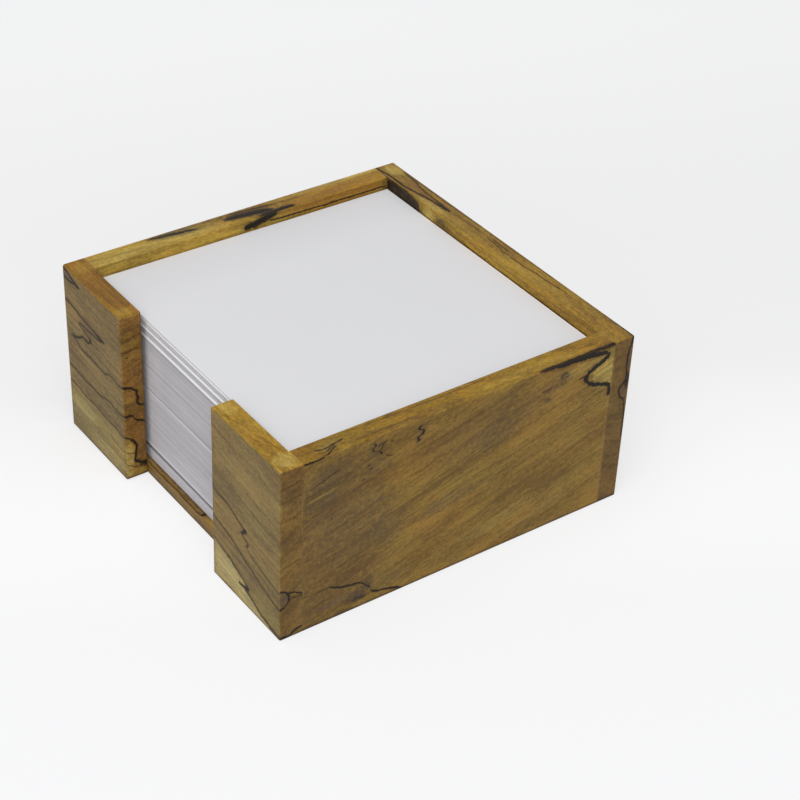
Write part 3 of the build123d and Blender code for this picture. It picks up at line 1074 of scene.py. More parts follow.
    def _arris_wear(self) -> EffectGroup:
        """Find how near a point is to an edge of a box, where hands and sandpaper have rubbed it.

        Returns:
            The group.
        """
        takes = {"Object Place": ZERO, "Low": ZERO, "High": EVEN, "Reach": 1.0}
        group = EffectGroup("arris_wear", takes, ["Wear"])
        taken = group.taken
        place = group.scale(taken["Object Place"], 1 / MM)
        above_low = group.vector("SUBTRACT", place, taken["Low"])
        below_high = group.vector("SUBTRACT", taken["High"], place)
        x, y, z = group.separate(group.vector("MINIMUM", above_low, below_high))
        # The middle one of the three distances is small only at an edge, where two faces are near.
        lower = group.math("MINIMUM", x, y)
        middle = group.math("MAXIMUM", lower, group.math("MINIMUM", group.math("MAXIMUM", x, y), z))
        rubbed = group.noise(place, scale=0.35, detail=3.0, roughness=0.6)[0]
        near = group.ease(middle, taken["Reach"], self.BARE_WITHIN)
        group.give("Wear", group.times(near, group.ease(rubbed, *self.RUBBED_LEVELS)))
        return group

    def _glue_seam(self) -> EffectGroup:
        """Make the fine dark line of a glued joint at one plane.

        Returns:
            The group.
        """
        group = EffectGroup("glue_seam", {"Distance": 1.0, "Unevenness": 0.5}, ["Seam"])
        width = group.fma(group.taken["Unevenness"], *self.SEAM_SPREAD)
        group.give("Seam", group.ease(group.math("ABSOLUTE", group.taken["Distance"]), width, 0.0))
        return group


# ---------------------------------------------------------------- the boards


@dataclass(frozen=True)
class Board:
    """One board: which CAD node it is, how it was cut from the trunk, its colour and its marks.

    Fibre and radial are the directions along the fibres and outward from the pith. In millimetres:
    the shift from the board to its place in the trunk, the pith's place across the fibres there,
    the spacing of the rings and how far they waver. A seam is the axis across a glued joint and
    the joint's plane. The web level is the level at which a slow noise draws zone lines on the
    faces that have none listed.
    """

    node: str
    fibre: Triple
    radial: Triple
    colour: Triple
    shift: Triple
    pith: Point
    marks: tuple[FaceMarks, ...]
    seams: tuple[tuple[int, float], ...] = ()
    ring_spacing: float = 3.0
    waver: float = 3.0
    web_level: float = 0.5


class MarkPainter:
    """Draws a face's dark lines and stains into a board's material.

    In millimetres: the depths below a face at which its marks begin and are complete, and the whole
    range over which the fine and the coarse noise move a mark.
    """

    FACE_DEPTHS = (-0.19, -0.10)
    FINE_REACH = 0.65
    COARSE_REACH = 0.40

    def __init__(self, graph: Graph, effects: Effects, sizes: TraySizes, place: Plug, shading: Plug) -> None:
        """Take what all faces share.

        Args:
            graph: The material's node tree.
            effects: The shared groups.
            sizes: The tray's planes.
            place: The object coordinates in millimetres.
            shading: What the wood's texture multiplies a colour by.
        """
        self.graph = graph
        self.effects = effects
        self.sizes = sizes
        self.shading = shading
        self.parts = graph.separate(place)
        self.rough = graph.separate(graph.noise(place, scale=0.9, detail=3.0, roughness=0.62)[1])
        self.coarse = graph.separate(graph.noise(place, scale=0.22, detail=1.0)[1])

    def mask(self, face: Face) -> Socket:
        """Find where a face is, up to the middle of its rounded edges."""
        outward = self.graph.minus(self.parts[face.axis], face.plane(self.sizes))
        return self.graph.ease(self.graph.times(outward, float(face.looks)), *self.FACE_DEPTHS)

    def spot(self, face: Face) -> list[Socket]:
        """Give a face's own two coordinates, jagged by noise so that what follows them is never smooth.

        Args:
            face: The face.

        Returns:
            The coordinates.
        """
        jagged = []
        for axis, rough, coarse in zip(face.own_axes, self.rough, self.coarse):
            fine = self.graph.swing(rough, self.FINE_REACH, self.parts[axis])
            jagged.append(self.graph.swing(coarse, self.COARSE_REACH, fine))
        return jagged

    def course(self, points: Sequence[Point], levels: Point, along: Plug) -> Socket:
        """Add the curve that a zone line follows.

        Args:
            points: The line's points, sorted along it.
            levels: The level across the line at which the curve is 0, and the one at which it is 1.
            along: The jagged coordinate along the line.

        Returns:
            The curve's value.
        """
        start, end = points[0][0], points[-1][0]
        low, high = levels
        plugs = {"Value": along, "From Min": start, "From Max": end}
        share = self.graph.add("ShaderNodeMapRange", plugs).outputs[0]
        node = self.graph.add("ShaderNodeFloatCurve", {"Value": share})
        placed = [((run - start) / (end - start), (level - low) / (high - low)) for run, level in points]
        curve = node.mapping.curves[0]
        curve.points[0].location = placed[0]
        curve.points[1].location = placed[-1]
        for inner in placed[1:-1]:
            curve.points.new(*inner)
        for point in curve.points:
            point.handle_type = "AUTO_CLAMPED"
        node.mapping.update()
        return node.outputs[0]

    def stroke(self, line: DarkLine, spot: Sequence[Plug]) -> tuple[Plug, Optional[Plug]]:
        """Draw one dark line.

        Args:
            line: The line.
            spot: The face's jagged coordinates.

        Returns:
            The line's ink, and its shore or None where it has none.
        """
        run = line.run_axis()
        points = sorted((point[run], point[1 - run]) for point in line.points)
        start, end = points[0][0], points[-1][0]
        low = min(level for _, level in points)
        high = max(level for _, level in points) + LEVEL_ROOM
        slant = sum(math.dist(a, b) for a, b in zip(points, points[1:])) / (end - start)
        plugs = {
            "Along": spot[run], "Across": spot[1 - run], "Start": start, "End": end,
            "Course": self.course(points, (low, high), spot[run]), "Low": low, "High": high,
            "Width": line.width * slant, "Taper": line.taper, "Swell": self.rough[2],
            "Shore": line.shore or 1.0,
        }
        drawn = self.graph.use(self.effects.zone_stroke, plugs)
        return self.graph.times(drawn["Ink"], line.ink), drawn["Shore"] if line.shore else None

    def lay_on(self, colour: Plug, shape: Plug, here: Plug, mark: Union[DarkLine, Stain]) -> Socket:
        """Lay a mark's tint, with the wood's own texture in it, on the colour where its shape is."""
        strength = self.graph.times(shape, here, mark.strength)
        return self.graph.mix(strength, colour, self.graph.wash(1.0, mark.tint.value, self.shading))

    def paint(self, marks: FaceMarks, colour: Plug) -> tuple[Plug, Plug, Plug]:
        """Draw all marks of a face.

        Args:
            marks: The face and its marks.
            colour: The wood's colour so far.

        Returns:
            The colour with the stains, the ink of the dark lines, and the face's mask.
        """
        graph = self.graph
        here = self.mask(marks.face)
        spot = self.spot(marks.face)
        colour = graph.wash(here, colour, marks.wash)
        strokes = [self.stroke(line, spot) for line in marks.lines]
        for line, (_, shore) in zip(marks.lines, strokes):
            if shore is not None:
                colour = self.lay_on(colour, shore, here, line)
        flat = graph.combine(*spot, 0.0)
        for stain in marks.stains:
            plugs = {
                "Spot": flat, "Centre": (*stain.centre, 0.0), "Turn": -math.radians(stain.turn),
                "Reach": (*stain.reach, 1.0), "Fray": self.rough[2],
                "Mottle": self.rough[0] if stain.tint.mottled else 1.0,
            }
            patch = graph.use(self.effects.stain_patch, plugs)["Patch"]
            colour = self.lay_on(colour, patch, here, stain)
        ink = graph.extreme("MAXIMUM", [ink for ink, _ in strokes])
        return colour, graph.times(ink, here), here


@dataclass(frozen=True)
class SpaltedBeech:
    """The oiled, sanded finish of the boards.

    Depths, the wear's reach and the foot shade's levels are in millimetres, the web's width in levels of
    its noise. The foot shade is painted contact shade: it darkens every board towards its underside.
    A share is how much of its colour a detail gives. Levels are where something begins
    and is complete. The rough reach is how far apart the smoothest and the roughest wood are.
    """

    roughness: float = 0.50
    rough_reach: float = 0.16
    specular: float = 0.2
    relief: float = 0.55
    pore_depth: float = 0.05
    pore_share: float = 0.35
    wear_reach: float = 0.6
    wear_share: float = 0.12
    worn_ink: float = 0.10
    web_width: float = 0.008
    web_side: float = 0.35
    halo_share: float = 0.45
    halo_levels: Point = (0.0, 0.30)
    ink_spread: Point = (0.4, 0.80)
    ink_levels: Point = (0.05, 0.95)
    foot_shade_levels: Point = (1.2, 0.45)
    foot_shade_share: float = 0.85
    seam_share: float = 0.7
    dark_shares: Triple = (0.56, 0.52, 0.48)
    light_shares: Triple = (1.44, 1.48, 1.52)
    dark_shading: Triple = (0.66, 0.63, 0.60)
    light_shading: Triple = (1.34, 1.37, 1.40)
    warm: Triple = (1.03, 0.97, 0.91)
    cool: Triple = (0.97, 1.02, 1.02)
    pore_dark: Triple = (0.55, 0.46, 0.38)
    ink_halo: Triple = (0.50, 0.38, 0.24)
    foot_shade: Triple = (0.30, 0.24, 0.18)
    wear_light: Triple = (0.46, 0.31, 0.12)
    seam_dark: Triple = (0.035, 0.022, 0.012)

    def material(self, board: Board, effects: Effects, sizes: TraySizes) -> Material:
        """Build a board's material.

        Args:
            board: The board.
            effects: The shared groups.
            sizes: The tray's planes.

        Returns:
            The material.
        """
        made, graph = new_material(f"spalted_beech_{board.node}")
        raw = graph.add("ShaderNodeTexCoord").outputs["Object"]
        cut = {"Object Place": raw, "Fibre": board.fibre, "Radial": board.radial, "Shift": board.shift}
        grain = graph.use(effects.grain_place, cut)["Grain Place"]
        trunk = {"Pith": (0.0, *board.pith), "Spacing": board.ring_spacing, "Waver": board.waver}
        growth = graph.use(effects.growth, {"Grain Place": grain, **trunk})
        fibres = graph.use(effects.fibres, {"Grain Place": grain})
        tone = self.wood_tone(graph, growth, fibres)
        colour = self.wood_colour(graph, board, tone, fibres)
        shading = graph.mix(tone, self.dark_shading, self.light_shading)
        painter = MarkPainter(graph, effects, sizes, graph.scale(raw, 1 / MM), shading)
        colour, ink = self.draw(painter, board, grain, colour)
        halo = graph.times(graph.ease(ink, *self.halo_levels), self.halo_share)
        colour = graph.wash(halo, colour, self.ink_halo)
        spread = graph.fma(fibres["Fine"], *self.ink_spread)
        core = graph.ease(graph.times(ink, spread), *self.ink_levels)
        colour = graph.mix(core, colour, INK.value)
        # Painted contact shade: the colour darkens over the lowest millimetre or so, where the board meets
        # the floor.
        foot = graph.ease(painter.parts[2], *self.foot_shade_levels)
        colour = graph.wash(graph.times(foot, self.foot_shade_share), colour, self.foot_shade)
        low, high = (tuple(corner / MM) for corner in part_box(board.node))
        box = {"Object Place": raw, "Low": low, "High": high, "Reach": self.wear_reach}
        wear = graph.use(effects.arris_wear, box)["Wear"]
        worn = graph.times(wear, graph.minus(self.wear_share, graph.times(core, self.worn_ink)))
        colour = graph.mix(worn, colour, self.wear_light)
        seams = []
        for axis, plane in board.seams:
            plugs = {"Distance": graph.minus(painter.parts[axis], plane), "Unevenness": painter.rough[0]}
            seams.append(graph.use(effects.glue_seam, plugs)["Seam"])
        seam = graph.extreme("MAXIMUM", seams)
        colour = graph.mix(graph.times(seam, self.seam_share), colour, self.seam_dark)
        streaky = graph.around(fibres["Streaks"], self.rough_reach, self.roughness)
        rough = graph.gather(streaky, (core, 0.12), (wear, -0.08))
        fine = graph.times(fibres["Fine"], 0.5)
        height = graph.gather(fine, (fibres["Pores"], -0.9), (growth["Rings"], 0.35), (seam, -1.0))
        plugs = {"Base Color": colour, "Roughness": rough, "Specular IOR Level": self.specular}
        graph.surface(plugs, height, self.relief, self.pore_depth)
        return made

    @staticmethod
    def wood_tone(graph: Graph, growth: Sockets, fibres: Sockets) -> Socket:
        """Add up the wood's rings, fibres and mottle.

        Args:
            graph: The material's node tree.
            growth: The growth effect's outputs.
            fibres: The fibres effect's outputs.

        Returns:
            How light the wood is, from 0 to 1.
        """
        reaches = {"Streaks": 0.95, "Mottle": 1.0, "Fine": 0.75, "Grit": 1.3}
        tone = graph.swing(growth["Bands"], 0.45, 0.5)
        for name, reach in reaches.items():
            tone = graph.swing(fibres[name], reach, tone)
        return graph.ease(graph.gather(tone, (growth["Rings"], -0.30), (fibres["Rays"], -0.08)), 0.0, 1.0)

    def wood_colour(self, graph: Graph, board: Board, tone: Plug, fibres: Sockets) -> Socket:
        """Colour the clear wood.

        Args:
            graph: The material's node tree.
            board: The board.
            tone: How light the wood is, from 0 to 1.
            fibres: The fibres effect's outputs.

        Returns:
            The colour.
        """
        ends = (self.dark_shares, self.light_shares)
        dark, light = (tuple(part * share for part, share in zip(board.colour, shares)) for shares in ends)
        hue = graph.mix(graph.ease(fibres["Hue"], 0.35, 0.65), self.warm, self.cool)
        colour = graph.wash(1.0, graph.mix(tone, dark, light), hue)
        return graph.wash(graph.times(fibres["Pores"], self.pore_share), colour, self.pore_dark)

    def draw(self, painter: MarkPainter, board: Board, grain: Plug, colour: Plug) -> tuple[Plug, Plug]:
        """Draw a board's marks, and a web of zone lines on the faces that have none listed.

        Args:
            painter: What draws the marks.
            board: The board.
            grain: The grain coordinates.
            colour: The clear wood's colour.

        Returns:
            The colour with the stains, and the ink of all lines.
        """
        graph = painter.graph
        inks, drawn = [], []
        for marks in board.marks:
            colour, ink, here = painter.paint(marks, colour)
            inks.append(ink)
            drawn.append(here)
        free = graph.minus(1.0, graph.extreme("MAXIMUM", drawn))
        plugs = {"Grain Place": grain, "Level": board.web_level, "Width": self.web_width}
        web = graph.use(painter.effects.zone_web, plugs)
        colour = graph.mix(graph.times(web["Side"], free, self.web_side), colour, OLIVE.value)
        return colour, graph.extreme("MAXIMUM", [*inks, graph.times(web["Web"], free)])


@dataclass(frozen=True)
class DowelBeech:
    """Plain beech of the hidden dowels, in faint streaks along the fibres."""

    light: Triple = (0.46, 0.31, 0.16)
    dark: Triple = (0.30, 0.18, 0.08)
    roughness: float = 0.65
    rough_reach: float = 0.2
    relief: float = 0.5
    depth: float = 0.05

    def material(self, effects: Effects, fibre: Triple) -> Material:
        """Build the dowels' material.

        Args:
            effects: The shared groups.
            fibre: The direction of the dowels' fibres.

        Returns:
            The material.
        """
        made, graph = new_material("dowel_beech")
        raw = graph.add("ShaderNodeTexCoord").outputs["Object"]
        grain = graph.use(effects.grain_place, {"Object Place": raw, "Fibre": fibre})["Grain Place"]
        fibres = graph.use(effects.fibres, {"Grain Place": grain})
        tone = graph.ease(graph.fma(fibres["Pores"], -0.2, fibres["Streaks"]), 0.3, 0.7)
        rough = graph.around(fibres["Fine"], self.rough_reach, self.roughness)
        plugs = {"Base Color": graph.mix(tone, self.dark, self.light), "Roughness": rough}
        graph.surface(plugs, fibres["Streaks"], self.relief, self.depth)
        return made


@dataclass(frozen=True)
class Tray:
    """The glued tray: five upright boards, the base panel and the hidden dowels.

    The angles, in degrees, are how far the right wall's fibres rise towards the back, and how far
    the right stub's fall towards the tray's side. The wall's lean is the part of its outward
    direction in the trunk that points to the right, and the part left for the other two axes.
    """

    effects: Effects
    sizes: TraySizes
    finish: SpaltedBeech = SpaltedBeech()
    dowel_finish: DowelBeech = DowelBeech()
    wall_rise: float = 15.0
    stub_fall: float = -8.0
    wall_lean: Point = (0.35, 0.937)

    def boards(self) -> list[Board]:
        """List the boards.

        Returns:
            The boards with their cut, their colours and their marks.
        """
        rise, fall = math.radians(self.wall_rise), math.radians(self.stub_fall)
        lean, upright = self.wall_lean
        seams = ((1, -self.sizes.inner_y), (1, self.sizes.inner_y))
        return [
            Board(
                "right_wall", fibre=(0.0, math.cos(rise), math.sin(rise)),
                radial=(lean, -math.sin(rise) * upright, math.cos(rise) * upright),
                colour=(0.288, 0.170, 0.0325), shift=(13.0, 5.0, 2.0), pith=(-46.0, 8.0),
                marks=(RIGHT_WALL_SIDE, RIGHT_WALL_TOP), seams=seams, ring_spacing=6.5, waver=5.0,
            ),
            Board(
                "left_wall", fibre=(0.05, 0.9987, 0.0), radial=UP, colour=(0.420, 0.260, 0.042),
                shift=(61.0, 17.0, 9.0), pith=(-70.0, 20.0), marks=(LEFT_WALL_TOP, LEFT_WALL_INNER),
                seams=seams, web_level=0.55,
            ),
            Board(
                "rear_wall", fibre=(0.9987, -0.04, 0.0), radial=UP, colour=(0.305, 0.188, 0.036),
                shift=(107.0, 31.0, 4.0), pith=(-90.0, -15.0),
                marks=(REAR_WALL_END, REAR_WALL_TOP, REAR_WALL_INNER), web_level=0.47,
            ),
            Board(
                "front_left_stub", fibre=(0.998, 0.0, -0.06), radial=(0.05, 0.16, 0.985),
                colour=(0.238, 0.155, 0.0455), shift=(-33.0, 12.0, 21.0), pith=(-80.0, 10.0),
                marks=(LEFT_STUB_FRONT, LEFT_STUB_END, LEFT_STUB_TOP), ring_spacing=2.6, waver=2.5,
            ),
            Board(
                "front_right_stub", fibre=(math.cos(fall), 0.0, math.sin(fall)),
                radial=(-math.sin(fall), 0.12, math.cos(fall)), colour=(0.260, 0.174, 0.050),
                shift=(-71.0, 40.0, 33.0), pith=(-60.0, -22.0),
                marks=(RIGHT_STUB_FRONT, RIGHT_STUB_END, RIGHT_STUB_TOP), ring_spacing=3.4, waver=2.5,
            ),
            Board(
                "base_panel", fibre=(1.0, 0.02, 0.0), radial=(0.0, 0.25, 0.968), colour=(0.270, 0.170, 0.045),
                shift=(3.0, 77.0, 51.0), pith=(-40.0, 30.0), marks=(BASE_FRONT, BASE_TOP_FRONT),
            ),
        ]

    def dress(self) -> None:
        """Give every board and dowel of the frame its material."""
        for board in self.boards():
            self.put_on(board.node, self.finish.material(board, self.effects, self.sizes))
        dowel_wood = self.dowel_finish.material(self.effects, (0.0, 1.0, 0.0))
        for corner in ("rear_left", "rear_right", "front_left", "front_right"):
            self.put_on(f"{corner}_dowels", dowel_wood)

    @staticmethod
    def put_on(node: str, material: Material) -> None:
        """Put a material on a CAD node in place of its own.

        Args:
            node: The node's name.
            material: The material.
        """
        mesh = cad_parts[node].data
        if not mesh.materials:
            mesh.materials.append(material)
        for index in range(len(mesh.materials)):
            mesh.materials[index] = material
        log.info("dressed %s with %s", node, material.name)


# ---------------------------------------------------------------- the sheets


@dataclass(frozen=True)
class NotePaper:
    """Smooth cool white note paper, with the fine stripes that its cut edges show in a stack.

    Thumbed shade and stub-side light are how light the front edges are in the gap and beside the
    stubs. The thumbed shade is painted shade, which also stands for greying by thumbs: it darkens the
    edges in the middle of the gap, more so higher up. The stub-side light is painted light: it
    lightens the edges next to and behind the stubs, where the stubs shade them. Pairs
    are where something begins and is complete, in millimetres: thumbed_shade_left from the gap's left
    end, thumbed_shade_right from its right end, stub_side_light_reach outward from both ends, rim from
    a sheet's edge, left_shade_reach from the tray's middle and thumbed_shade_height from its
    underside. Shares are what a face keeps of its brightness where it is cloudy, and at the left,
    where painted shade darkens it.
    """

    sizes: TraySizes
    top: Triple = (0.858, 0.861, 0.884)
    edge_light: Triple = (0.785, 0.768, 0.800)
    edge_dark: Triple = (0.594, 0.572, 0.604)
    ledge_highlight: Triple = (0.96, 0.955, 0.965)
    slit_shade: Triple = (0.30, 0.29, 0.29)
    cloud_share: float = 0.975
    left_shade_share: float = 0.955
    left_shade_reach: Point = (-24.0, -40.0)
    thumbed_shade: float = 0.82
    thumbed_shade_height: Point = (3.0, 20.0)
    thumbed_shade_left: Point = (0.9, 8.9)
    thumbed_shade_right: Point = (1.0, -5.0)
    stub_side_light: float = 1.24
    stub_side_light_reach: Point = (-1.9, 1.6)
    rim: Point = (0.20, 0.45)
    roughness: float = 0.62
    rough_reach: float = 0.12
    specular: float = 0.3
    relief: float = 0.25
    depth: float = 0.02

    @staticmethod
    def levels(*nodes: str) -> list[tuple[float, float]]:
        """Give the lowest and the highest level of each node, in millimetres."""
        return [tuple(corner.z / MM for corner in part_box(node)) for node in nodes]

    def stripes(self) -> list[Triple]:
        """Give the stripes where bundles meet, some of them painted shade: the low and high level in
        millimetres, and the tone.
        """
        (_, seam), (loose_low, loose_high), (proud_low, _) = self.levels(
            "lower_bundle", "loose_sheets", "proud_sheets_lower"
        )
        return [
            (8.0, 8.7, 1.15),
            (seam - 0.1, seam + 0.55, 1.30),
            (seam + 0.7, seam + 1.4, 0.82),
            (seam + 8.0, seam + 8.4, 0.92),
            # Painted shadow under the proud sheets.
            (proud_low - 0.9, proud_low, 0.90),
            (loose_low - 1.0, loose_low - 0.2, 1.08),
            # Painted shade in the gap under the top sheet.
            (loose_high - 0.1, loose_high, 0.80),
        ]

    def ledge_highlight_bands(self) -> list[Point]:
        """Give the low and high level, in millimetres, of the sheets whose cut edges get a painted highlight,
        as if their ledges caught the light from above.
        """
        (_, lower), (_, upper), (_, loose) = self.levels(
            "proud_sheets_lower", "proud_sheets_upper", "loose_sheets"
        )
        return [(lower - 0.05, lower + 0.65), (upper - 0.35, upper + 0.30), (loose - 0.70, loose)]

    @staticmethod
    def band(graph: Graph, height: Plug, low: float, high: float) -> Socket:
        """Find where the height is between two levels."""
        half, middle = (high - low) / 2, (low + high) / 2
        return graph.ease(graph.math("ABSOLUTE", graph.minus(height, middle)), half + 0.08, half - 0.05)

    def inside(self, graph: Graph, place: Sequence[Plug]) -> Socket:
        """Find the middles of the sheets.

        Args:
            graph: The material's node tree.
            place: The place in millimetres, as its three parts.

        Returns:
            0 on the thin rims that slipped sheets show, and 1 elsewhere and on the top sheet.
        """
        low, high = (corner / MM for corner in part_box("middle_bundle"))
        room = []
        for axis in (0, 1):
            room += [graph.minus(place[axis], low[axis]), graph.minus(high[axis], place[axis])]
        rim = graph.ease(graph.extreme("MINIMUM", room), *self.rim)
        top_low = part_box("top_sheet")[0].z / MM
        return graph.math("MAXIMUM", rim, graph.math("GREATER_THAN", place[2], top_low - 0.02))

    def edge_colour(self, graph: Graph, place: Plug, in_front: Plug) -> Socket:
        """Colour the cut edges, with a stripe for every few sheets, painted shade, painted light and painted
        highlights.

        Args:
            graph: The material's node tree.
            place: The place in millimetres.
            in_front: Where an edge faces the front.

        Returns:
            The colour.
        """
        sideways, _, height = graph.separate(place)
        # Stripes of a sheet or two, broad ones of a dozen sheets, and streaks that run out.
        smear = graph.noise(graph.vector("MULTIPLY", place, (0.04, 0.04, 5.0)), detail=3.0)[0]
        tone = graph.swing(graph.line_noise(height, scale=7.0, detail=3.0), 1.6, 0.62)
        tone = graph.swing(graph.line_noise(height, scale=0.8), 0.7, tone)
        tone = graph.swing(smear, 0.8, tone)
        edge = graph.mix(graph.ease(tone, 0.0, 1.0), self.edge_dark, self.edge_light)
        gap = self.sizes.gap_x
        from_left = graph.ease(sideways, *(end - gap for end in self.thumbed_shade_left))
        from_right = graph.ease(sideways, *(end + gap for end in self.thumbed_shade_right))
        # Painted shade: the front edges in the middle of the gap, and higher up, are darker; it also stands
        # for greying by thumbs.
        thumbed_shade_mask = graph.times(from_left, graph.ease(height, *self.thumbed_shade_height), from_right, in_front)
        edge = graph.wash(thumbed_shade_mask, edge, (self.thumbed_shade,) * 3)
        # Painted light: the front edges next to and behind the stubs are lighter, against the shade that the
        # stubs cast.
        behind = graph.ease(graph.math("ABSOLUTE", sideways), *(end + gap for end in self.stub_side_light_reach))
        edge = graph.wash(graph.times(behind, in_front), edge, (self.stub_side_light,) * 3)
        # Stripes where bundles meet; some of them are painted shade.
        for low, high, stripe in self.stripes():
            edge = graph.wash(self.band(graph, height, low, high), edge, (stripe,) * 3)
        # Painted highlights on the cut edges of the sheets that stand out.
        for low, high in self.ledge_highlight_bands():
            edge = graph.mix(self.band(graph, height, low, high), edge, self.ledge_highlight)
        return edge

    def face_colour(self, graph: Graph, place: Plug, fleck: Plug) -> Socket:
        """Colour the sheets' faces, with painted shade that makes them a little darker at the left.

        Args:
            graph: The material's node tree.
            place: The place in millimetres.
            fleck: The paper's fine noise.

        Returns:
            The colour.
        """
        cloud = graph.noise(place, scale=0.03, detail=3.0)[0]
        shade = graph.swing(fleck, 0.35, graph.swing(cloud, 0.5, 0.5))
        cloudy = tuple(self.cloud_share * part for part in self.top)
        face = graph.mix(graph.ease(shade, 0.0, 1.0), cloudy, self.top)
        # Painted shade: the faces darken a little towards the left wall.
        sideways = graph.separate(place)[0]
        return graph.wash(graph.ease(sideways, *self.left_shade_reach), face, (self.left_shade_share,) * 3)

    def material(self) -> Material:
        """Build the paper's material.

        Returns:
            The material.
        """
        made, graph = new_material("note_paper")
        place = graph.scale(graph.add("ShaderNodeTexCoord").outputs["Object"], 1 / MM)
        parts = graph.separate(place)
        normal = graph.separate(graph.add("ShaderNodeNewGeometry").outputs["Normal"])
        lying = graph.ease(graph.math("ABSOLUTE", normal[2]), 0.5, 0.8)
        fleck = graph.noise(place, scale=2.2, detail=3.0, roughness=0.7)[0]
        edge = self.edge_colour(graph, place, graph.ease(normal[1], -0.4, -0.8))
        inside = graph.times(lying, self.inside(graph, parts))
        colour = graph.mix(inside, edge, self.face_colour(graph, place, fleck))
        # Painted shade in the slit between the bottom and the lower bundle.
        (_, slit_low), (slit_high, _) = self.levels("bottom_bundle", "lower_bundle")
        slit_shade_mask = self.band(graph, parts[2], slit_low + 0.05, slit_high + 0.4)
        colour = graph.wash(slit_shade_mask, colour, self.slit_shade)
        rough = graph.around(fleck, self.rough_reach, self.roughness)
        plugs = {"Base Color": colour, "Roughness": rough, "Specular IOR Level": self.specular}
        graph.surface(plugs, fleck, self.relief, self.depth)
        return made


@dataclass(frozen=True)
class Bundle:
    """Some sheets of the stack: the CAD node that they stand for, their body and how neatly they lie.

    Slip and turn set how far chance moves a sheet, in millimetres and degrees.
    """

    node: str
    body: str
    seed: int
    slip: float = 0.10
    turn: float = 0.05


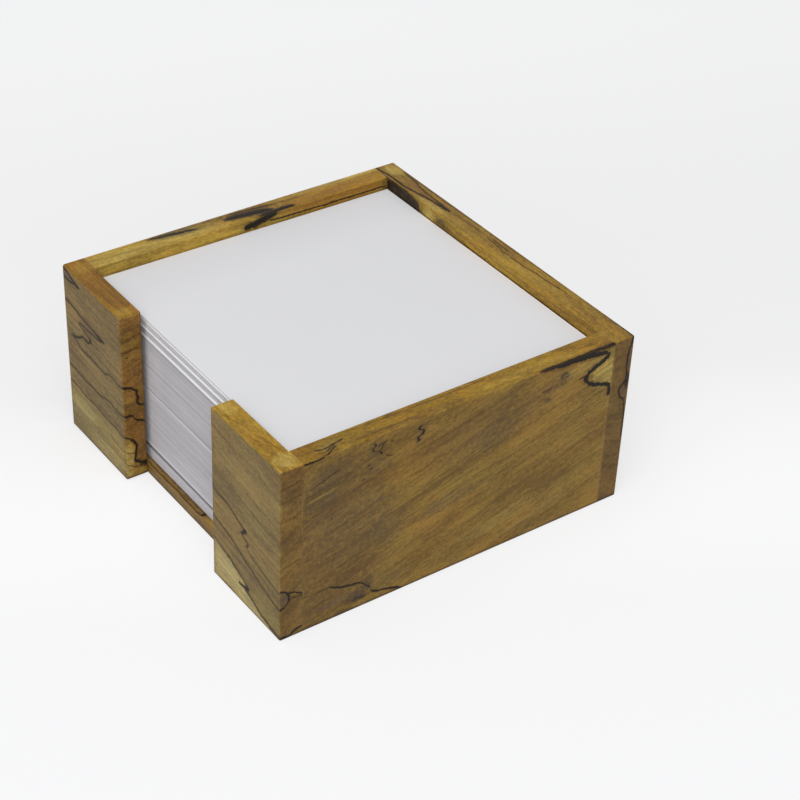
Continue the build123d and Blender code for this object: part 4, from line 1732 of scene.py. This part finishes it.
@dataclass(frozen=True)
class Refill:
    """The loose sheets, made one by one by Geometry Nodes and laid on each other bundle by bundle.

    The thickness of a sheet and the height of its waves are in millimetres, and the waves' scale is
    per metre. Air is the share of the thickness that isn't paper. Sag is by what share of its
    height a point lies lower, for every metre that it is to the right and to the rear. The slips
    also drift with a noise that goes on by the drift step from sheet to sheet. The two directions
    read it drift_apart from each other.
    """

    paper: Material
    thickness: float = 0.1
    air: float = 0.12
    wave: float = 0.05
    wave_scale: Triple = (35.0, 35.0, 90.0)
    sag: float = 0.10
    drift_step: float = 0.09
    drift_apart: float = 40.0
    bundles: tuple[Bundle, ...] = (
        Bundle("bottom_bundle", "refill", 3, slip=0.07),
        Bundle("lower_bundle", "refill", 11),
        Bundle("middle_bundle", "refill", 23),
        Bundle("proud_sheets_lower", "refill", 31, slip=0.04),
        Bundle("spacer_bundle", "refill", 37),
        Bundle("proud_sheets_upper", "refill", 41, slip=0.04),
        Bundle("upper_bundle", "refill", 43, slip=0.08),
        Bundle("loose_sheets", "loose_sheets", 47, slip=0.09),
        Bundle("top_sheet", "top_sheet", 53, slip=0.0, turn=0.0),
    )

    def stack_tree(self) -> bpy.types.NodeTree:
        """Build the tree that lays sheets on each other, with its named inputs.

        Returns:
            The tree.
        """
        tree = bpy.data.node_groups.new("sheet_stack", "GeometryNodeTree")
        kinds = {
            "Sheet Size": "Vector", "Sheet Count": "Int", "Sheet Pitch": "Float", "Lowest Middle": "Vector",
            "Slip": "Float", "Turn": "Float", "Wave": "Float", "Sag": "Float", "Seed": "Int",
            "Paper": "Material",
        }
        for label, kind in kinds.items():
            tree.interface.new_socket(name=label, in_out="INPUT", socket_type=f"NodeSocket{kind}")
        tree.interface.new_socket(name="Geometry", in_out="OUTPUT", socket_type="NodeSocketGeometry")
        graph = Graph(tree)
        taken = graph.add("NodeGroupInput").outputs
        slip, seed = taken["Slip"], taken["Seed"]
        box = {"Size": taken["Sheet Size"], "Vertices X": 5, "Vertices Y": 5, "Vertices Z": 2}
        sheet = graph.add("GeometryNodeMeshCube", box).outputs["Mesh"]
        rise = graph.combine(0.0, 0.0, taken["Sheet Pitch"])
        steps = {"Count": taken["Sheet Count"], "Start Location": taken["Lowest Middle"], "Offset": rise}
        column = graph.add("GeometryNodeMeshLine", steps, mode="OFFSET").outputs["Mesh"]
        index = graph.add("GeometryNodeInputIndex").outputs[0]
        turn = graph.combine(0.0, 0.0, graph.random(taken["Turn"], index, seed, 1))
        copies = {"Points": column, "Instance": sheet, "Rotation": turn}
        sheets = graph.add("GeometryNodeInstanceOnPoints", copies).outputs[0]
        along = graph.fma(index, self.drift_step, seed)
        slips = []
        for salt, course in ((2, along), (3, graph.plus(along, self.drift_apart))):
            drift = graph.times(graph.minus(graph.line_noise(course), NOISE_MIDDLE), 2.0)
            slips.append(graph.fma(drift, slip, graph.random(slip, index, seed, salt)))
        move = {"Instances": sheets, "Translation": graph.combine(*slips, 0.0)}
        slipped = graph.add("GeometryNodeTranslateInstances", move).outputs[0]
        real = graph.add("GeometryNodeRealizeInstances", {"Geometry": slipped}).outputs[0]
        spot = graph.add("GeometryNodeInputPosition").outputs[0]
        swell = graph.noise(graph.vector("MULTIPLY", spot, self.wave_scale), detail=1.0)[0]
        lift = graph.times(graph.minus(swell, NOISE_MIDDLE), taken["Wave"])
        x, y, z = graph.separate(spot)
        lift = graph.minus(lift, graph.times(graph.plus(x, y), graph.times(z, taken["Sag"])))
        bend = {"Geometry": real, "Offset": graph.combine(0.0, 0.0, lift)}
        waved = graph.add("GeometryNodeSetPosition", bend).outputs[0]
        dressed = graph.add("GeometryNodeSetMaterial", {"Geometry": waved, "Material": taken["Paper"]})
        graph.add("NodeGroupOutput", {"Geometry": dressed.outputs[0]})
        return tree

    def lay(self, bundle: Bundle, tree: bpy.types.NodeTree) -> bpy.types.Object:
        """Make one bundle as a plain mesh in the place of its CAD node.

        Args:
            bundle: The bundle.
            tree: The tree that lays sheets on each other.

        Returns:
            The finished object.
        """
        low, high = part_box(bundle.node)
        height = (high.z - low.z) / MM
        count = max(1, round(height / self.thickness))
        pitch = height * MM / count
        middle = (low + high) / 2
        values = {
            "Sheet Size": (high.x - low.x, high.y - low.y, pitch * (1.0 - self.air)),
            "Sheet Count": count,
            "Sheet Pitch": pitch,
            "Lowest Middle": (middle.x, middle.y, low.z + pitch / 2),
            "Slip": bundle.slip * MM,
            "Turn": math.radians(bundle.turn),
            "Wave": self.wave * MM,
            "Sag": self.sag,
            "Seed": bundle.seed,
            "Paper": self.paper,
        }
        piece = new_object(f"{bundle.node}_paper", bpy.data.meshes.new(bundle.node))
        modifier = piece.modifiers.new("sheets", "NODES")
        modifier.node_group = tree
        for socket in tree.interface.items_tree:
            if socket.in_out == "INPUT":
                modifier[socket.identifier] = values[socket.name]
        evaluated = piece.evaluated_get(bpy.context.evaluated_depsgraph_get())
        plain = bpy.data.meshes.new_from_object(evaluated)
        piece.modifiers.remove(modifier)
        piece.data = plain
        log.info("laid %s: %d sheets, %d faces", piece.name, count, len(plain.polygons))
        return piece

    def build(self) -> None:
        """Lay all bundles and put them on their bodies."""
        tree = self.stack_tree()
        for bundle in self.bundles:
            piece = self.lay(bundle, tree)
            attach(piece, bundle.body)
            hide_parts(bundle.node)


# ---------------------------------------------------------------- the studio


@dataclass(frozen=True)
class Viewpoint:
    """Where the photograph was taken from: angles in degrees, lengths in millimetres."""

    azimuth: float = 53.090
    elevation: float = 35.456
    roll: float = 2.667
    distance: float = 509.4
    target: Triple = (15.156, 7.987, 25.25)
    lens: float = 89.041
    sensor: float = 36.0
    seen_from: float = 10.0
    seen_to: float = 20000.0

    def make(self) -> None:
        """Build the camera and make it the scene's."""
        turn, lift, roll = (math.radians(angle) for angle in (self.azimuth, self.elevation, self.roll))
        back = Vector((math.sin(turn) * math.cos(lift), -math.cos(turn) * math.cos(lift), math.sin(lift)))
        right = (-back).cross(Vector(UP)).normalized()
        up = right.cross(-back)
        own_x = right * math.cos(roll) + up * math.sin(roll)
        own_y = up * math.cos(roll) - right * math.sin(roll)
        stance = Matrix((own_x, own_y, back)).transposed().to_4x4()
        stance.translation = (Vector(self.target) + back * self.distance) * MM
        data = bpy.data.cameras.new("camera")
        data.lens = self.lens
        data.sensor_width = self.sensor
        data.clip_start = self.seen_from * MM
        data.clip_end = self.seen_to * MM
        camera = new_object("camera", data)
        camera.matrix_world = stance
        bpy.context.scene.camera = camera
        log.info("placed the camera")


@dataclass(frozen=True)
class Lamp:
    """A large soft lamp that points at the object: place and side of its square in metres, watts."""

    name: str
    place: Triple
    size: float
    power: float

    def hang(self) -> None:
        """Make the lamp."""
        data = bpy.data.lights.new(self.name, "AREA")
        data.shape = "SQUARE"
        data.size = self.size
        data.energy = self.power
        lamp = new_object(self.name, data)
        lamp.location = self.place
        lamp.rotation_euler = (-Vector(self.place)).to_track_quat("-Z", "Y").to_euler()
        log.info("hung %s", self.name)


@dataclass(frozen=True)
class Studio:
    """A plain pale floor under soft light from above. Lengths are in metres.

    The floor's glow and its seen colour change from far to near along floor_slope, a direction in
    the floor that goes from the back of the picture to the front. Pairs are where a change begins
    and is complete.
    """

    floor_half: float = 3.0
    floor_drop: float = 0.00002
    floor_slope: Triple = (0.95, -0.50, 0.0)
    floor_seen_far: float = 0.50
    floor_seen_near: float = 0.28
    floor_bounce: Triple = (0.70, 0.70, 0.71)
    glow_colour: Triple = (0.982, 0.986, 1.0)
    glow_far: float = 0.540
    glow_middle: float = 0.485
    glow_near: float = 0.713
    glow_falls: Point = (-0.32, -0.10)
    glow_rises: Point = (-0.05, 0.06)
    seen_falls: Point = (-0.03, 0.07)
    sky: float = 0.29
    sky_colour: Triple = (0.99, 0.995, 1.0)
    backdrop: float = 0.90
    lamps: tuple[Lamp, ...] = (
        Lamp("softbox", (0.35, -0.50, 1.50), 1.6, 15.0),
        Lamp("fill", (1.15, -0.95, 1.05), 1.4, 8.0),
    )

    def build(self) -> None:
        """Build floor, world and lamps."""
        self.make_floor()
        self.make_world()
        for lamp in self.lamps:
            lamp.hang()

    @staticmethod
    def seen_ray(graph: Graph) -> Plug:
        """Find the rays that show the background: from the camera, a reflection or through glass.

        Args:
            graph: The node tree.

        Returns:
            1 for these rays, 0 for others.
        """
        path = graph.add("ShaderNodeLightPath").outputs
        kinds = ("Camera", "Glossy", "Transmission")
        return graph.extreme("MAXIMUM", [path[f"Is {kind} Ray"] for kind in kinds])

    def make_floor(self) -> None:
        """Lay the floor, brighter to the eye than the light that it throws back."""
        half, low = self.floor_half, -self.floor_drop
        mesh = bpy.data.meshes.new("floor")
        corners = [(-half, -half, low), (half, -half, low), (half, half, low), (-half, half, low)]
        mesh.from_pydata(corners, [], [(0, 1, 2, 3)])
        floor = new_object("floor", mesh)
        material, graph = new_material("studio_floor")
        mesh.materials.append(material)
        seen = self.seen_ray(graph)
        raw = graph.add("ShaderNodeTexCoord").outputs["Object"]
        towards = graph.vector("DOT_PRODUCT", raw, self.floor_slope)
        glow = graph.plus(
            graph.ease(towards, *self.glow_falls, self.glow_far, self.glow_middle),
            graph.ease(towards, *self.glow_rises, 0.0, self.glow_near - self.glow_middle),
        )
        shown = graph.ease(towards, *self.seen_falls, self.floor_seen_far, self.floor_seen_near)
        colour = graph.mix(seen, self.floor_bounce, graph.combine(shown, shown, shown))
        diffuse = graph.add("ShaderNodeBsdfDiffuse", {"Color": colour})
        shine = {"Color": (*self.glow_colour, 1.0), "Strength": graph.times(seen, glow)}
        both = graph.add("ShaderNodeAddShader")
        for socket, part in zip(both.inputs, (diffuse, graph.add("ShaderNodeEmission", shine))):
            graph.feed(socket, part.outputs[0])
        graph.add("ShaderNodeOutputMaterial", {"Surface": both.outputs[0]})
        log.info("laid the floor")

    def make_world(self) -> None:
        """Fill the surroundings with even light, and show them nearly white."""
        world = bpy.data.worlds.new("studio")
        world.use_nodes = True
        world.node_tree.nodes.clear()
        graph = Graph(world.node_tree)
        strength = graph.ease(self.seen_ray(graph), 0.0, 1.0, self.sky, self.backdrop)
        light = {"Color": (*self.sky_colour, 1.0), "Strength": strength}
        background = graph.add("ShaderNodeBackground", light)
        graph.add("ShaderNodeOutputWorld", {"Surface": background.outputs[0]})
        bpy.context.scene.world = world


def main() -> None:
    """Dress the tray, lay the sheets, and set up the studio and the camera."""
    logging.basicConfig(level=logging.INFO, format="%(name)s: %(message)s")
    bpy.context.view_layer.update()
    bpy.context.scene.view_settings.view_transform = "Standard"
    sizes = TraySizes.from_frame()
    Tray(Effects(), sizes).dress()
    Refill(NotePaper(sizes).material()).build()
    Studio().build()
    Viewpoint().make()


if __name__ == "__main__":
    main()
